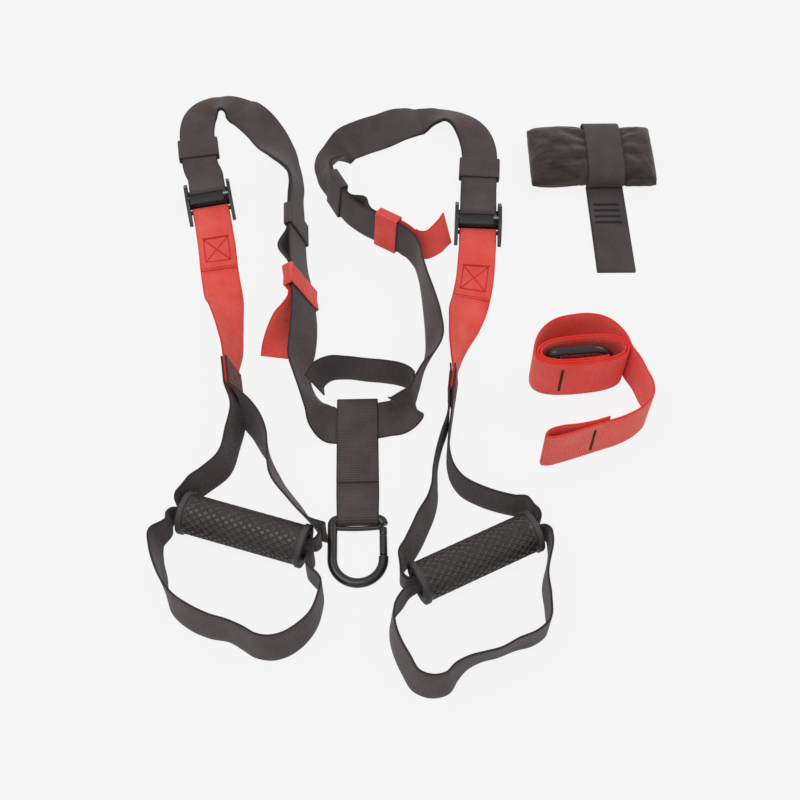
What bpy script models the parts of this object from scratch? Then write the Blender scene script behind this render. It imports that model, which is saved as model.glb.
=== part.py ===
"""Suspension trainer laid out on a floor, with its door anchor and extension strap.

Metres, +Z up. Places in the plan are shares of SPREAD_LEN, measured from the middle of the
layout. Webbing is a sweep of a flat section along a route: a station of a route is
(x, y, lean), where lean is the angle in degrees of the webbing's left-hand side above the
floor: 0 lies flat, 90 stands on edge, 180 lies flat the other way round.
"""
import math

import bmesh
import bpy
import numpy as np
from mathutils import Matrix, Vector

# Plan unit and webbing
SPREAD_LEN = 0.1
WEB_W = 0.038
WEB_T = 0.0018
GAP = 0.0003
PITCH = WEB_T + GAP
STEP = 0.022
TURN = math.radians(15.0)
DENSE = 0.0015

# Keepers and collars
KEEPER_LEN = 0.027
KEEPER_WALL = 0.0016
KEEPER_PLAY = 0.0011
COLLAR_LEN = 0.025

# Cam buckle
PLATE_T = 0.0036
PLATE_CLEAR = 0.0015
PLATE_LEN = 0.054
PLATE_TOP = 0.0178
BASE_T = 0.0012
BAR_R = 0.002
STRAP_BAR_R = 0.0022
STRAP_BAR_BACK = 0.0125
PIN_R = 0.0015
PIN_CLEAR = 0.0002
DRUM_R = 0.0034
LEVER_T = 0.0016
LEVER_REACH = 0.011
SPRING_WIRE_R = 0.0003
SPRING_ROOM = 0.005

# Carabiner
HOOK_LEN = 0.0655
HOOK_W = 0.0508
ROD_R = 0.0035
HOOK_CORNER = 0.0046
EYE_R = 0.0016
GATE_R = 0.0034
GATE_LEN = 0.0295
GATE_GAP = 0.0006
GATE_BORE_R = 0.0019
HINGE_R = 0.0010
LUG_T = 0.0024

# Grips
GRIP_LEN = 0.112
SLEEVE_WALL = 0.0040
CORE_WALL = 0.0016
CAP_T = 0.005
CAP_RIM = 0.0014
GATHER = 0.52
BORE_CLEAR = 0.00096

# Door anchor
PAD_L = 0.134
PAD_D = 0.082
PAD_H = 0.031
DOOR_WEB_W = 0.039

# Extension strap
WIDE_WEB_W = 0.050
COIL_A = 0.0375
COIL_B = 0.0105
COIL_GROW = 0.0027
COIL_TURNS_SHARE = 2.8333
COIL_LOOSE = 0.026

UP = np.array([0.0, 0.0, 1.0])

BLACK = (0.042, 0.036, 0.037)
RED = (0.80, 0.085, 0.062)
PLASTIC = (0.030, 0.030, 0.031)
STEEL = (0.55, 0.55, 0.56)
METAL_BLACK = (0.022, 0.022, 0.023)


def clear_scene():
    for item in list(bpy.data.objects):
        bpy.data.objects.remove(item, do_unlink=True)


def material(name, colour, roughness, metallic=0.0):
    made = bpy.data.materials.new(name)
    made.use_nodes = True
    shader = made.node_tree.nodes["Principled BSDF"]
    shader.inputs["Base Color"].default_value = (*colour, 1.0)
    shader.inputs["Roughness"].default_value = roughness
    shader.inputs["Metallic"].default_value = metallic
    return made


def make_object(name, verts, faces, colour, roughness=0.8, metallic=0.0, smooth=0.0):
    mesh = bpy.data.meshes.new(name)
    mesh.from_pydata([tuple(map(float, v)) for v in verts], [], [tuple(f) for f in faces])
    mesh.update()
    fix = bmesh.new()
    fix.from_mesh(mesh)
    bmesh.ops.recalc_face_normals(fix, faces=fix.faces)
    if fix.calc_volume(signed=True) < 0:
        bmesh.ops.reverse_faces(fix, faces=fix.faces)
    fix.to_mesh(mesh)
    fix.free()
    if smooth:
        mesh.shade_smooth()
        mesh.set_sharp_from_angle(angle=math.radians(smooth))
    made = bpy.data.objects.new(name, mesh)
    bpy.context.scene.collection.objects.link(made)
    mesh.materials.append(material(name, colour, roughness, metallic))
    return made


def combine(target, tools, operation):
    """Apply a Boolean of each tool to the target and remove the tools."""
    for tool in tools:
        cut = target.modifiers.new(tool.name, 'BOOLEAN')
        cut.operation = operation
        cut.solver = 'EXACT'
        cut.object = tool
    graph = bpy.context.evaluated_depsgraph_get()
    mesh = bpy.data.meshes.new_from_object(target.evaluated_get(graph))
    target.modifiers.clear()
    old = target.data
    target.data = mesh
    bpy.data.meshes.remove(old)
    tidy = bmesh.new()
    tidy.from_mesh(mesh)
    bmesh.ops.remove_doubles(tidy, verts=tidy.verts, dist=GAP / 30)
    bmesh.ops.dissolve_degenerate(tidy, edges=tidy.edges, dist=GAP / 30)
    bmesh.ops.triangulate(tidy, faces=tidy.faces)
    tidy.to_mesh(mesh)
    tidy.free()
    for tool in tools:
        bpy.data.objects.remove(tool, do_unlink=True)
    return target


def unit(v):
    v = np.asarray(v, float)
    return v / np.linalg.norm(v, axis=-1, keepdims=True)


def spline(knots, spacing=DENSE):
    """A smooth curve through rows of knots, sampled at an even spacing."""
    knots = np.asarray(knots, float)
    gaps = np.linalg.norm(np.diff(knots[:, :3], axis=0), axis=1)
    t = np.concatenate([[0.0], np.cumsum(gaps)])
    slope = np.gradient(knots, t, axis=0)
    s = np.arange(0.0, t[-1], spacing)
    s = np.append(s, t[-1])
    i = np.clip(np.searchsorted(t, s, side="right") - 1, 0, len(t) - 2)
    h = (t[i + 1] - t[i])[:, None]
    u = ((s - t[i]) / (t[i + 1] - t[i]))[:, None]
    a = 2 * u**3 - 3 * u**2 + 1
    b = u**3 - 2 * u**2 + u
    c = 3 * u**2 - 2 * u**3
    d = u**3 - u**2
    return a * knots[i] + b * h * slope[i] + c * knots[i + 1] + d * h * slope[i + 1]


class Run:
    """Webbing frames along a route: centre, width direction W, face normal N, gather."""

    def __init__(self, centre, across, gather=None):
        self.c = np.asarray(centre, float)
        tangent = unit(np.gradient(self.c, axis=0))
        w = np.asarray(across, float)
        w = w - tangent * np.sum(w * tangent, axis=1)[:, None]
        self.w = unit(w)
        self.t = tangent
        self.n = np.cross(tangent, self.w)
        self.g = np.ones(len(self.c)) if gather is None else np.asarray(gather, float)

    def part(self, index):
        made = Run.__new__(Run)
        made.c, made.w, made.t = self.c[index], self.w[index], self.t[index]
        made.n, made.g = self.n[index], self.g[index]
        return made

    def shifted(self, offset):
        made = self.part(np.arange(len(self.c)))
        made.c = made.c + made.n * np.reshape(offset, (-1, 1))
        return made

    def reversed(self):
        made = self.part(np.arange(len(self.c))[::-1])
        made.t, made.n = -made.t, -made.n
        return made

    def picks(self, step=STEP, turn=TURN):
        """Indices of the rings that the mesh keeps: close on bends, far on straights."""
        bend = np.arccos(np.clip(np.sum(self.t[1:] * self.t[:-1], axis=1), -1, 1))
        twist = np.arccos(np.clip(np.sum(self.w[1:] * self.w[:-1], axis=1), -1, 1))
        walk = np.linalg.norm(np.diff(self.c, axis=0), axis=1)
        load = np.cumsum(walk / step + (bend + twist) / turn)
        count = max(2, int(math.ceil(load[-1])) + 1)
        marks = np.linspace(0, load[-1], count)
        index = np.searchsorted(np.append(0.0, load), marks)
        return np.unique(np.clip(index, 0, len(self.c) - 1))

    def near(self, x, y):
        d = np.hypot(self.c[:, 0] - x * SPREAD_LEN, self.c[:, 1] - y * SPREAD_LEN)
        return int(np.argmin(d))


def joined(runs):
    made = Run.__new__(Run)
    for name in ("c", "w", "t", "n", "g"):
        setattr(made, name, np.concatenate([getattr(r, name) for r in runs]))
    return made


def plan_knots(shares, width=WEB_W):
    """Knots (x, y, z, W) of stations on the floor, or raised by a share of PITCH."""
    table = np.array(shares, float)
    xy = table[:, :2] * SPREAD_LEN
    gaps = np.linalg.norm(np.diff(xy, axis=0), axis=1)
    heading = unit(np.gradient(xy, np.append(0.0, np.cumsum(gaps)), axis=0))
    lean = np.radians(table[:, 2])
    side = np.stack([-heading[:, 1], heading[:, 0], 0 * lean], 1)
    w = side * np.cos(lean)[:, None] + UP * np.sin(lean)[:, None]
    z = width / 2 * np.abs(np.sin(lean)) + WEB_T / 2 * np.abs(np.cos(lean))
    if table.shape[1] > 3:
        z += PITCH * table[:, 3]
    return np.column_stack([xy, z, w])


def run_through(knots, width=WEB_W):
    rows = spline(knots)
    made = Run(rows[:, :3], rows[:, 3:6], rows[:, 6] if rows.shape[1] > 6 else None)
    low = made.c[:, 2] - np.abs(made.w[:, 2]) * width * made.g / 2 - np.abs(made.n[:, 2]) * WEB_T / 2
    made.c[:, 2] += np.maximum(0.0, -low)
    return made


def webbing(name, run, colour, width=WEB_W, thick=WEB_T, flips=None, skew=0.0):
    """Closed solid of a flat section carried along the rings of a run."""
    count = len(run.c)
    half_w = (width / 2 * run.g)[:, None]
    half_t = (thick / 2 / run.g)[:, None]
    lean = run.t * skew / 2
    corners = np.stack([run.c + run.w * half_w + run.n * half_t + lean,
                        run.c - run.w * half_w + run.n * half_t - lean,
                        run.c - run.w * half_w - run.n * half_t - lean,
                        run.c + run.w * half_w - run.n * half_t + lean], 1)
    faces = []
    for i in range(count - 1):
        other = flips is not None and flips[i]
        for k in range(4):
            a, b = 4 * i + k, 4 * i + (k + 1) % 4
            c, d = b + 4, a + 4
            swap = other if k == 0 else (not other if k == 2 else False)
            if swap:
                faces += [(a, b, d), (b, c, d)]
            else:
                faces += [(a, b, c), (a, c, d)]
    last = 4 * (count - 1)
    faces += [(3, 2, 1), (3, 1, 0), (last, last + 1, last + 2), (last, last + 2, last + 3)]
    return make_object(name, corners.reshape(-1, 3), faces, colour, 0.85)


def sleeve(name, run, lift, inner_w, inner_t, wall, colour, skew=0.0):
    """Closed sleeve round a run's layers; lift moves its middle along the normal."""
    count = len(run.c)
    mid = run.c + run.n * lift
    rings = []
    for half_w, half_t in ((inner_w / 2 + wall, inner_t / 2 + wall), (inner_w / 2, inner_t / 2)):
        for sw, sn in ((1, 1), (-1, 1), (-1, -1), (1, -1)):
            slide = run.t * skew / 2 * sw * half_w * 2 / inner_w
            rings.append(mid + run.w * half_w * sw + run.n * half_t * sn + slide)
    verts = np.stack(rings, 1).reshape(-1, 3)
    faces = []
    for i in range(count - 1):
        for base, turn in ((0, False), (4, True)):
            for k in range(4):
                a = 8 * i + base + k
                b = 8 * i + base + (k + 1) % 4
                quad = (a, b, b + 8, a + 8)
                faces.append(quad[::-1] if turn else quad)
    for at, turn in ((0, True), (8 * (count - 1), False)):
        for k in range(4):
            a, b = at + k, at + (k + 1) % 4
            quad = (a, b, b + 4, a + 4)
            faces.append(quad[::-1] if turn else quad)
    return make_object(name, verts, faces, colour, 0.85)


def place_matrix(x, y, z, turn=0.0):
    return Matrix.Translation((x, y, z)) @ Matrix.Rotation(turn, 4, 'Z')


def moved(obj, matrix):
    obj.data.transform(matrix)
    return obj


def prism(name, outline, low, high, axis, colour, roughness=0.5, metallic=0.0):
    """Extrude an outline, given in the plane square to an axis ('X' or 'Z')."""
    count = len(outline)
    if axis == 'X':
        verts = [(low, u, v) for u, v in outline] + [(high, u, v) for u, v in outline]
    else:
        verts = [(u, v, low) for u, v in outline] + [(u, v, high) for u, v in outline]
    faces = [tuple(range(count))[::-1], tuple(range(count, 2 * count))]
    faces += [(k, (k + 1) % count, (k + 1) % count + count, k + count) for k in range(count)]
    return make_object(name, verts, faces, colour, roughness, metallic)


def circle(radius, sides, u=0.0, v=0.0, first=0.0):
    turn = first + np.arange(sides) * 2 * math.pi / sides
    return np.stack([u + radius * np.cos(turn), v + radius * np.sin(turn)], 1)


def rod(name, radius, low, high, y, z, sides, colour, roughness=0.4, metallic=0.0):
    """A round bar along X."""
    return prism(name, circle(radius, sides, y, z, math.pi / sides), low, high, 'X',
                 colour, roughness, metallic)


def lathe(name, profile, sides, colour, roughness=0.5, metallic=0.0, smooth=40.0):
    """Turn a closed profile of (along, radius) about the X axis."""
    profile = np.asarray(profile, float)
    turn = np.arange(sides) * 2 * math.pi / sides
    x = np.repeat(profile[:, 0][None], sides, 0)
    y = profile[:, 1][None] * np.cos(turn)[:, None]
    z = profile[:, 1][None] * np.sin(turn)[:, None]
    verts = np.stack([x, y, z], 2).reshape(-1, 3)
    count = len(profile)
    faces = [(i * count + k, i * count + (k + 1) % count,
              (i + 1) % sides * count + (k + 1) % count, (i + 1) % sides * count + k)
             for i in range(sides) for k in range(count)]
    return make_object(name, verts, faces, colour, roughness, metallic, smooth)


def tube(name, points, radius, sides, colour, roughness=0.4, metallic=0.0, first=0.5, axis=UP):
    """A round or many-sided rod along points, with closed ends; its rings are set from the axis."""
    points = np.asarray(points, float)
    tangent = unit(np.gradient(points, axis=0))
    side = np.cross(tangent, axis)
    bare = np.linalg.norm(side, axis=1) < 0.2
    side[bare] = np.array([1.0, 0.0, 0.0])
    side = unit(side)
    lift = np.cross(side, tangent)
    turn = (np.arange(sides) + first) * 2 * math.pi / sides
    rings = (points[:, None] + radius * (side[:, None] * np.cos(turn)[None, :, None]
                                         + lift[:, None] * np.sin(turn)[None, :, None]))
    verts = rings.reshape(-1, 3)
    count = len(points)
    faces = [(i * sides + k, i * sides + (k + 1) % sides,
              (i + 1) * sides + (k + 1) % sides, (i + 1) * sides + k)
             for i in range(count - 1) for k in range(sides)]
    faces += [tuple(range(sides))[::-1], tuple(range((count - 1) * sides, count * sides))]
    return make_object(name, verts, faces, colour, roughness, metallic, 40.0)


# Cam buckles: local X across the webbing, local Y towards the arc, Z up
WRAP_R = BAR_R + GAP + WEB_T / 2
BAR_HEIGHT = BASE_T + 2 * GAP + WEB_T / 2 + WRAP_R
STRAP_BAR_HEIGHT = STRAP_BAR_R + 2 * GAP + WEB_T
STRAP_WRAP_R = STRAP_BAR_R + GAP + WEB_T / 2
PIN_HEIGHT = BAR_HEIGHT + WRAP_R + WEB_T / 2 + DRUM_R + 2 * GAP
BUCKLE_INNER = WEB_W / 2 + PLATE_CLEAR
BUCKLE_PLACE_SHARES = {"left": (-2.005, 2.46, 12.4), "right": (0.809, 2.155, -3.0)}


def buckle_matrix(side):
    x, y, turn = BUCKLE_PLACE_SHARES[side]
    return place_matrix(x * SPREAD_LEN, y * SPREAD_LEN, 0.0, math.radians(turn))


def buckle_point(side, along, height, across=0.0):
    return np.array(buckle_matrix(side) @ Vector((across, along, height)))


def make_buckle(side):
    matrix = buckle_matrix(side)
    top, half = PLATE_TOP, PLATE_LEN / 2
    outline_shares = ((-1, 0), (1, 0), (1, 0.40), (0.46, 1), (-0.32, 1), (-1, 0.40))
    outline = [(a * half, b * top) for a, b in outline_shares]
    reach = BUCKLE_INNER + PLATE_T
    shell = prism("buckle_frame_" + side, outline, BUCKLE_INNER, reach, 'X', PLASTIC, 0.38)
    mate = prism("plate", outline, -reach, -BUCKLE_INNER, 'X', PLASTIC)
    bite = PLATE_T / 3
    low, high = -BUCKLE_INNER - bite, BUCKLE_INNER + bite
    bar = rod("bar", BAR_R, low, high, 0.0, BAR_HEIGHT, 12, PLASTIC)
    strap_bar = rod("strap_bar", STRAP_BAR_R, low, high, -STRAP_BAR_BACK, STRAP_BAR_HEIGHT, 12, PLASTIC)
    base = [(-2 * BAR_R, bite / 4), (half * 0.8, bite / 4), (half * 0.8, BASE_T), (-2 * BAR_R, BASE_T)]
    floor = prism("base", base, low, high, 'X', PLASTIC)
    combine(shell, [mate, bar, strap_bar, floor], 'UNION')
    hole = rod("hole", PIN_R + PIN_CLEAR, -reach - bite, reach + bite, 0.0, PIN_HEIGHT, 12, PLASTIC)
    combine(shell, [hole], 'DIFFERENCE')
    moved(shell, matrix)

    pin = rod("cam_pin_" + side, PIN_R, -reach + GAP, reach - GAP, 0.0, PIN_HEIGHT, 12, STEEL, 0.3, 1.0)
    moved(pin, matrix)

    drum_low = -BUCKLE_INNER + 2 * GAP
    drum_high = BUCKLE_INNER - SPRING_ROOM
    teeth = 16
    radius = DRUM_R - (np.arange(teeth) % 2) * DRUM_R * 0.12
    turn = np.arange(teeth) * 2 * math.pi / teeth
    drum_outline = np.stack([radius * np.cos(turn), radius * np.sin(turn)], 1)
    lever = prism("cam_lever_" + side, drum_outline, drum_low, drum_high, 'X', PLASTIC, 0.4)
    plate = [(-LEVER_REACH, DRUM_R * 0.30), (LEVER_REACH * 0.45, DRUM_R * 0.62),
             (LEVER_REACH * 0.45, DRUM_R * 0.62 + LEVER_T), (-LEVER_REACH, DRUM_R * 0.30 + LEVER_T)]
    blade = prism("blade", plate, drum_low + GAP, drum_high - GAP, 'X', PLASTIC)
    combine(lever, [blade], 'UNION')
    bore = rod("bore", PIN_R + PIN_CLEAR, drum_low - bite, drum_high + bite, 0.0, 0.0, 12, PLASTIC)
    combine(lever, [bore], 'DIFFERENCE')
    moved(lever, matrix @ Matrix.Translation((0, 0, PIN_HEIGHT)))

    turns, per = 3, 9
    phase = np.arange(turns * per + 1) * 2 * math.pi / per
    first = drum_high + 2 * SPRING_WIRE_R + GAP
    last = BUCKLE_INNER - 2 * SPRING_WIRE_R - GAP
    coil_r = PIN_R + 2 * SPRING_WIRE_R + GAP
    points = np.stack([np.linspace(first, last, len(phase)), coil_r * np.cos(phase),
                       coil_r * np.sin(phase) + PIN_HEIGHT], 1)
    spring = tube("cam_spring_" + side, points, SPRING_WIRE_R, 4, STEEL, 0.3, 1.0)
    moved(spring, matrix)


def buckle_knots(side):
    """Main webbing's stations between the arm and the return bar, top layer first."""
    high = BAR_HEIGHT + WRAP_R
    flat = WEB_T / 2 + PITCH
    half = PLATE_LEN / 2
    steps = ((1.48, flat), (1.11, flat + (high - flat) * 0.13), (0.85, flat + (high - flat) * 0.36),
             (0.50, flat + (high - flat) * 0.80), (0.20, high - GAP / 2), (0.0, high))
    across = np.array(buckle_matrix(side).to_3x3() @ Vector((-1, 0, 0)))
    if side == "left":
        across = -across
    return np.array([[*buckle_point(side, a * half, z), *across] for a, z in steps])


def return_run(side, across):
    """The half turn round the return bar, from the top to the bottom."""
    turns = np.linspace(math.pi / 2, 3 * math.pi / 2, 9)[1:-1]
    centre = [buckle_point(side, WRAP_R * math.cos(a), BAR_HEIGHT + WRAP_R * math.sin(a)) for a in turns]
    made = Run(np.array(centre), np.repeat(across[None], len(turns), 0))
    heading = np.array(buckle_matrix(side).to_3x3() @ Vector((0, 1, 0)))
    made.t = np.array([heading * -math.sin(a) + UP * math.cos(a) for a in turns])
    made.n = np.cross(made.t, made.w)
    return made


# Main straps: (x, y, lean, lift in layers) from the middle of the front to the arm
MAIN_SHARES = {
    "left": (
        (-0.403, -0.283, 0, 1), (-0.50, -0.302, 0, 1), (-0.58, -0.305, 0, 1), (-0.62, -0.300, 0, 1), (-0.71, -0.252, 24, 0.4),
        (-0.77, -0.17, 48, 0), (-0.84, -0.05, 62, 0), (-0.90, 0.10, 66, 0), (-0.945, 0.30, 60, 0.3),
        (-0.93, 0.50, 53, 0.8), (-0.92, 0.75, 53, 1.8), (-0.935, 1.00, 57, 3.0), (-0.965, 1.25, 61, 2.9),
        (-1.005, 1.50, 66, 1.9), (-1.03, 1.75, 68, 1.6), (-1.045, 2.00, 70, 1.8), (-1.06, 2.25, 72, 1.7),
        (-1.072, 2.48, 75, 1.2), (-1.095, 2.645, 68, 0.8), (-1.15, 2.79, 56, 0.8), (-1.235, 2.98, 39, 0.8),
        (-1.336, 3.23, 15, 0.9), (-1.478, 3.475, -11, 0.9), (-1.632, 3.67, -16, 0.9), (-1.78, 3.83, -3, 0.9),
        (-1.90, 3.895, 14, 0.9), (-2.00, 3.90, 24, 0.9), (-2.10, 3.87, 18, 1.2), (-2.18, 3.80, 10, 1.6),
        (-2.225, 3.70, 5, 2.0), (-2.24, 3.58, 2, 2.3), (-2.235, 3.46, 0, 2.4), (-2.215, 3.33, 0, 2.4),
        (-2.18, 3.12, 0, 2.3), (-2.145, 2.97, 0, 1.4)),
    "right": (
        (-0.397, -0.282, 0, 1), (-0.30, -0.264, 0, 1), (-0.155, -0.234, 0, 1), (-0.12, -0.226, 0, 1), (-0.035, -0.21, 4, 0.6),
        (0.02, -0.195, 26, 0.2), (0.07, -0.155, 60, 0), (0.11, -0.09, 82, 0), (0.15, 0.03, 88, 0),
        (0.205, 0.18, 94, 0), (0.275, 0.34, 108, 0), (0.325, 0.52, 115, 0), (0.32, 0.75, 112, 0),
        (0.285, 1.00, 105, 0), (0.24, 1.25, 97, 0), (0.205, 1.44, 94, 0.3), (0.165, 1.59, 96, 1.2),
        (0.09, 1.70, 97, 2.3), (-0.02, 1.785, 97, 2.9), (-0.21, 1.905, 96, 2.9), (-0.40, 2.04, 96, 2.5),
        (-0.56, 2.21, 97, 2.3), (-0.65, 2.385, 98, 2.4), (-0.735, 2.55, 100, 2.0), (-0.78, 2.715, 110, 1.3),
        (-0.76, 2.87, 133, 1), (-0.74, 3.02, 158, 1), (-0.685, 3.16, 182, 1), (-0.59, 3.235, 206, 1),
        (-0.44, 3.29, 220, 0.9), (-0.20, 3.42, 215, 0.8), (0.03, 3.59, 200, 0.8), (0.235, 3.69, 178, 0.8), (0.40, 3.70, 159, 0.8),
        (0.53, 3.69, 151, 0.9), (0.64, 3.645, 154, 1.0), (0.73, 3.57, 161, 1.3), (0.80, 3.46, 169, 1.7),
        (0.845, 3.31, 176, 2.2), (0.862, 3.16, 180, 2.4), (0.861, 3.02, 180, 2.4), (0.85, 2.86, 180, 2.4),
        (0.838, 2.70, 180, 1.7)),
}
# Plan places along each main strap
COLLAR_SHARES = {"left": (-0.955, 1.16), "right": (-0.14, 1.86)}
KEEPER_SHARES = {"left": ((-2.197, 3.22), (-1.045, 1.98)), "right": ((0.855, 2.92), (-0.655, 2.40))}
BULGE_SHARES = {"left": (1.84, 1.35, 0.095), "right": (2.20, 1.95, 0.09)}
COLLAR_SKEW_SHARE = {"left": 0.42, "right": 0.0}
LAYER_SIDE = {"left": -1.0, "right": 1.0}


def main_run(side):
    """Main layer, raised where the tail or a sleeve under it would reach below the floor."""
    run = run_through(np.vstack([plan_knots(MAIN_SHARES[side]), buckle_knots(side)]))
    away = LAYER_SIDE[side]
    walk = np.arange(len(run.c)) * DENSE
    rise_w, rise_n = np.abs(run.w[:, 2]), np.abs(run.n[:, 2])
    doubled = walk > walk[run.near(*COLLAR_SHARES[side])]
    tail_low = run.c[:, 2] + away * PITCH * run.n[:, 2] - rise_w * WEB_W / 2 - rise_n * WEB_T / 2
    lack = np.where(doubled, np.maximum(0.0, -tail_low), 0.0)
    wide = WEB_W / 2 + KEEPER_PLAY + KEEPER_WALL
    sleeves = [(place, 2, KEEPER_LEN) for place in KEEPER_SHARES[side]]
    sleeves.append((COLLAR_SHARES[side], 3, COLLAR_LEN))
    for place, layers, length in sleeves:
        deep = layers * PITCH / 2 + KEEPER_PLAY + KEEPER_WALL
        low = run.c[:, 2] + away * run.n[:, 2] * PITCH * (layers - 1) / 2 - rise_w * wide - rise_n * deep
        apart = np.abs(walk - walk[run.near(*place)]) / length
        lack = np.maximum(lack, np.maximum(0.0, -low) * np.clip(2.2 - 2.0 * apart, 0, 1))
    before_ramp = walk < walk[tail_start(side, run)]
    run.c[:, 2] += np.where(before_ramp, lack, 0.0)
    return run


def tail_start(side, run):
    """Index on the main run where the tail leaves the buckle's ramp."""
    far = buckle_knots(side)[0]
    return run.near(far[0] / SPREAD_LEN, far[1] / SPREAD_LEN)


def tail_swell(side, run):
    """How far the tail's loose bulge stands off the main layer."""
    first, last, swell = BULGE_SHARES[side]
    y = run.c[:, 1] / SPREAD_LEN
    x_side = run.c[:, 0] / SPREAD_LEN < (-0.9 if side == "left" else 0.2)
    u = np.clip((y - last) / (first - last), 0, 1)
    hump = np.where(x_side & (u > 0) & (u < 1), np.sin(math.pi * u) ** 2, 0.0)
    return swell * SPREAD_LEN * hump


def tail_run(side, run):
    """The tail layer: under the main layer, bulging away sideways where it lies loose."""
    made = run.shifted(LAYER_SIDE[side] * PITCH)
    away = run.n * np.array([1.0, 1.0, 0.0]) * LAYER_SIDE[side]
    away = away / np.maximum(np.linalg.norm(away, axis=1), GAP)[:, None]
    made.c = made.c + away * tail_swell(side, run)[:, None]
    return made


def make_main(side, run, rings):
    collar = run.near(*COLLAR_SHARES[side])
    ramp = tail_start(side, run)
    low = BAR_HEIGHT - WRAP_R
    flat = WEB_T / 2
    half = PLATE_LEN / 2
    across = buckle_knots(side)[0, 3:]
    steps = ((0.0, low), (0.30, low), (0.60, low), (0.88, low), (1.18, flat + (low - flat) * 0.3), (1.48, flat))
    below = np.array([[*buckle_point(side, a * half, z), *across] for a, z in steps])
    bottom = run_through(below)
    ring_main = run.part(rings)
    tail = tail_run(side, run).part(rings[(rings < ramp - 4) & (rings > collar)]).reversed()
    bottom = bottom.part(bottom.picks())
    chain = joined([ring_main, return_run(side, across), bottom, tail])
    flips = np.zeros(len(chain.c), bool)
    flips[len(ring_main.c):] = True
    webbing("main_strap_" + side, chain, BLACK, flips=flips)


def window(run, at, length):
    """Stretch of a run of the given length, centred on an index, drawn straight."""
    walk = np.append(0.0, np.cumsum(np.linalg.norm(np.diff(run.c, axis=0), axis=1)))
    index = [int(np.argmin(np.abs(walk - walk[at] - s * length))) for s in (-0.5, 0.5)]
    return np.array(index)


def straight(run, ends):
    """Two rings at the ends of a stretch, both square to the chord between them."""
    made = run.part(ends)
    chord = unit(made.c[1] - made.c[0])
    across = unit(run.w[(ends[0] + ends[1]) // 2])
    across = unit(across - chord * np.dot(across, chord))
    made.t = np.repeat(chord[None], 2, 0)
    made.w = np.repeat(across[None], 2, 0)
    made.n = np.cross(made.t, made.w)
    return made


def make_keepers(side, run):
    away = LAYER_SIDE[side]
    for number, place in enumerate(KEEPER_SHARES[side], 1):
        ends = window(run, run.near(*place), KEEPER_LEN)
        inner_t = 2 * WEB_T + GAP + 2 * KEEPER_PLAY
        piece = straight(run, ends)
        sleeve(f"keeper_{side}_{number}", piece, away * PITCH / 2, WEB_W + 2 * KEEPER_PLAY,
               inner_t, KEEPER_WALL, BLACK)


# Pull tabs: control frames (x, y, height share of the webbing, W) after the collar
def make_adjuster(side, run):
    away = LAYER_SIDE[side]
    ends = window(run, run.near(*COLLAR_SHARES[side]), COLLAR_LEN)
    piece = straight(run, ends)
    layers = 3 * WEB_T + 2 * GAP
    sleeve("tab_collar_" + side, piece, away * PITCH, WEB_W + 2 * KEEPER_PLAY, layers + 2 * KEEPER_PLAY,
           KEEPER_WALL, RED, skew=COLLAR_SKEW_SHARE[side] * COLLAR_LEN * (1 if side == "left" else -1))
    start, finish = piece.c[1], piece.c[0]
    lay = piece.n[0] * away * (2 * PITCH + 1.5 * GAP)
    w = piece.w[0]
    along = unit(finish - start)
    first = start + lay + along * COLLAR_LEN * 0.1
    knots = [[*first, *w], [*(first + along * COLLAR_LEN * 0.55), *w], [*(finish + lay + along * COLLAR_LEN * 0.16), *w]]
    for x, y, rise, wx, wy, wz in TAB_SHARES[side]:
        knots.append([x * SPREAD_LEN, y * SPREAD_LEN, WEB_T / 2 + rise * WEB_W, *unit([wx, wy, wz])])
    tab = run_through(np.array(knots))
    webbing("adjust_tab_" + side, tab.part(tab.picks()), RED)


TAB_SHARES = {
    "left": ((-1.085, 0.79, 0.30, -0.52, 0.20, 0.72), (-1.125, 0.61, 0.16, -0.58, 0.55, 0.40),
             (-1.16, 0.45, 0.02, -0.59, 0.81, 0.04)),
    "right": ((0.10, 1.765, 0.49, 0.14, 0.20, 0.95), (0.25, 1.735, 0.48, -0.02, 0.11, 0.98),
              (0.39, 1.845, 0.45, -0.02, 0.35, 0.90), (0.48, 1.975, 0.42, -0.03, 0.50, 0.83)),
}

# Equalizer: open arc on edge behind the anchor strap, sewn to both main straps
EQUALIZER_SHARES = ((-0.79, 0.05, 66), (-0.765, 0.14, 76), (-0.66, 0.225, 86), (-0.50, 0.235, 90),
                    (-0.31, 0.21, 90), (-0.13, 0.19, 90), (-0.01, 0.165, 90), (0.06, 0.135, 90),
                    (0.105, 0.10, 90), (0.130, 0.063, 90))


def make_equalizer():
    run = run_through(plan_knots(EQUALIZER_SHARES))
    webbing("equalizer_loop", run.part(run.picks()), BLACK)


# Anchor strap and carabiner share a frame whose origin is under the carabiner's top bar
ANCHOR_SHARES = (-0.367, -1.276, 1.35)
ANCHOR_LEN = 0.1255
SEAM_SHARE = 0.30
LAP_SHARE = 0.62
HOOK_GATHER = 0.955
HOOK_WRAP_R = ROD_R + GAP + WEB_T / 2
HOOK_HEIGHT = WEB_T / 2 + HOOK_WRAP_R


def anchor_matrix():
    x, y, turn = ANCHOR_SHARES
    return place_matrix(x * SPREAD_LEN, y * SPREAD_LEN, 0.0, math.radians(turn))


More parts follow.
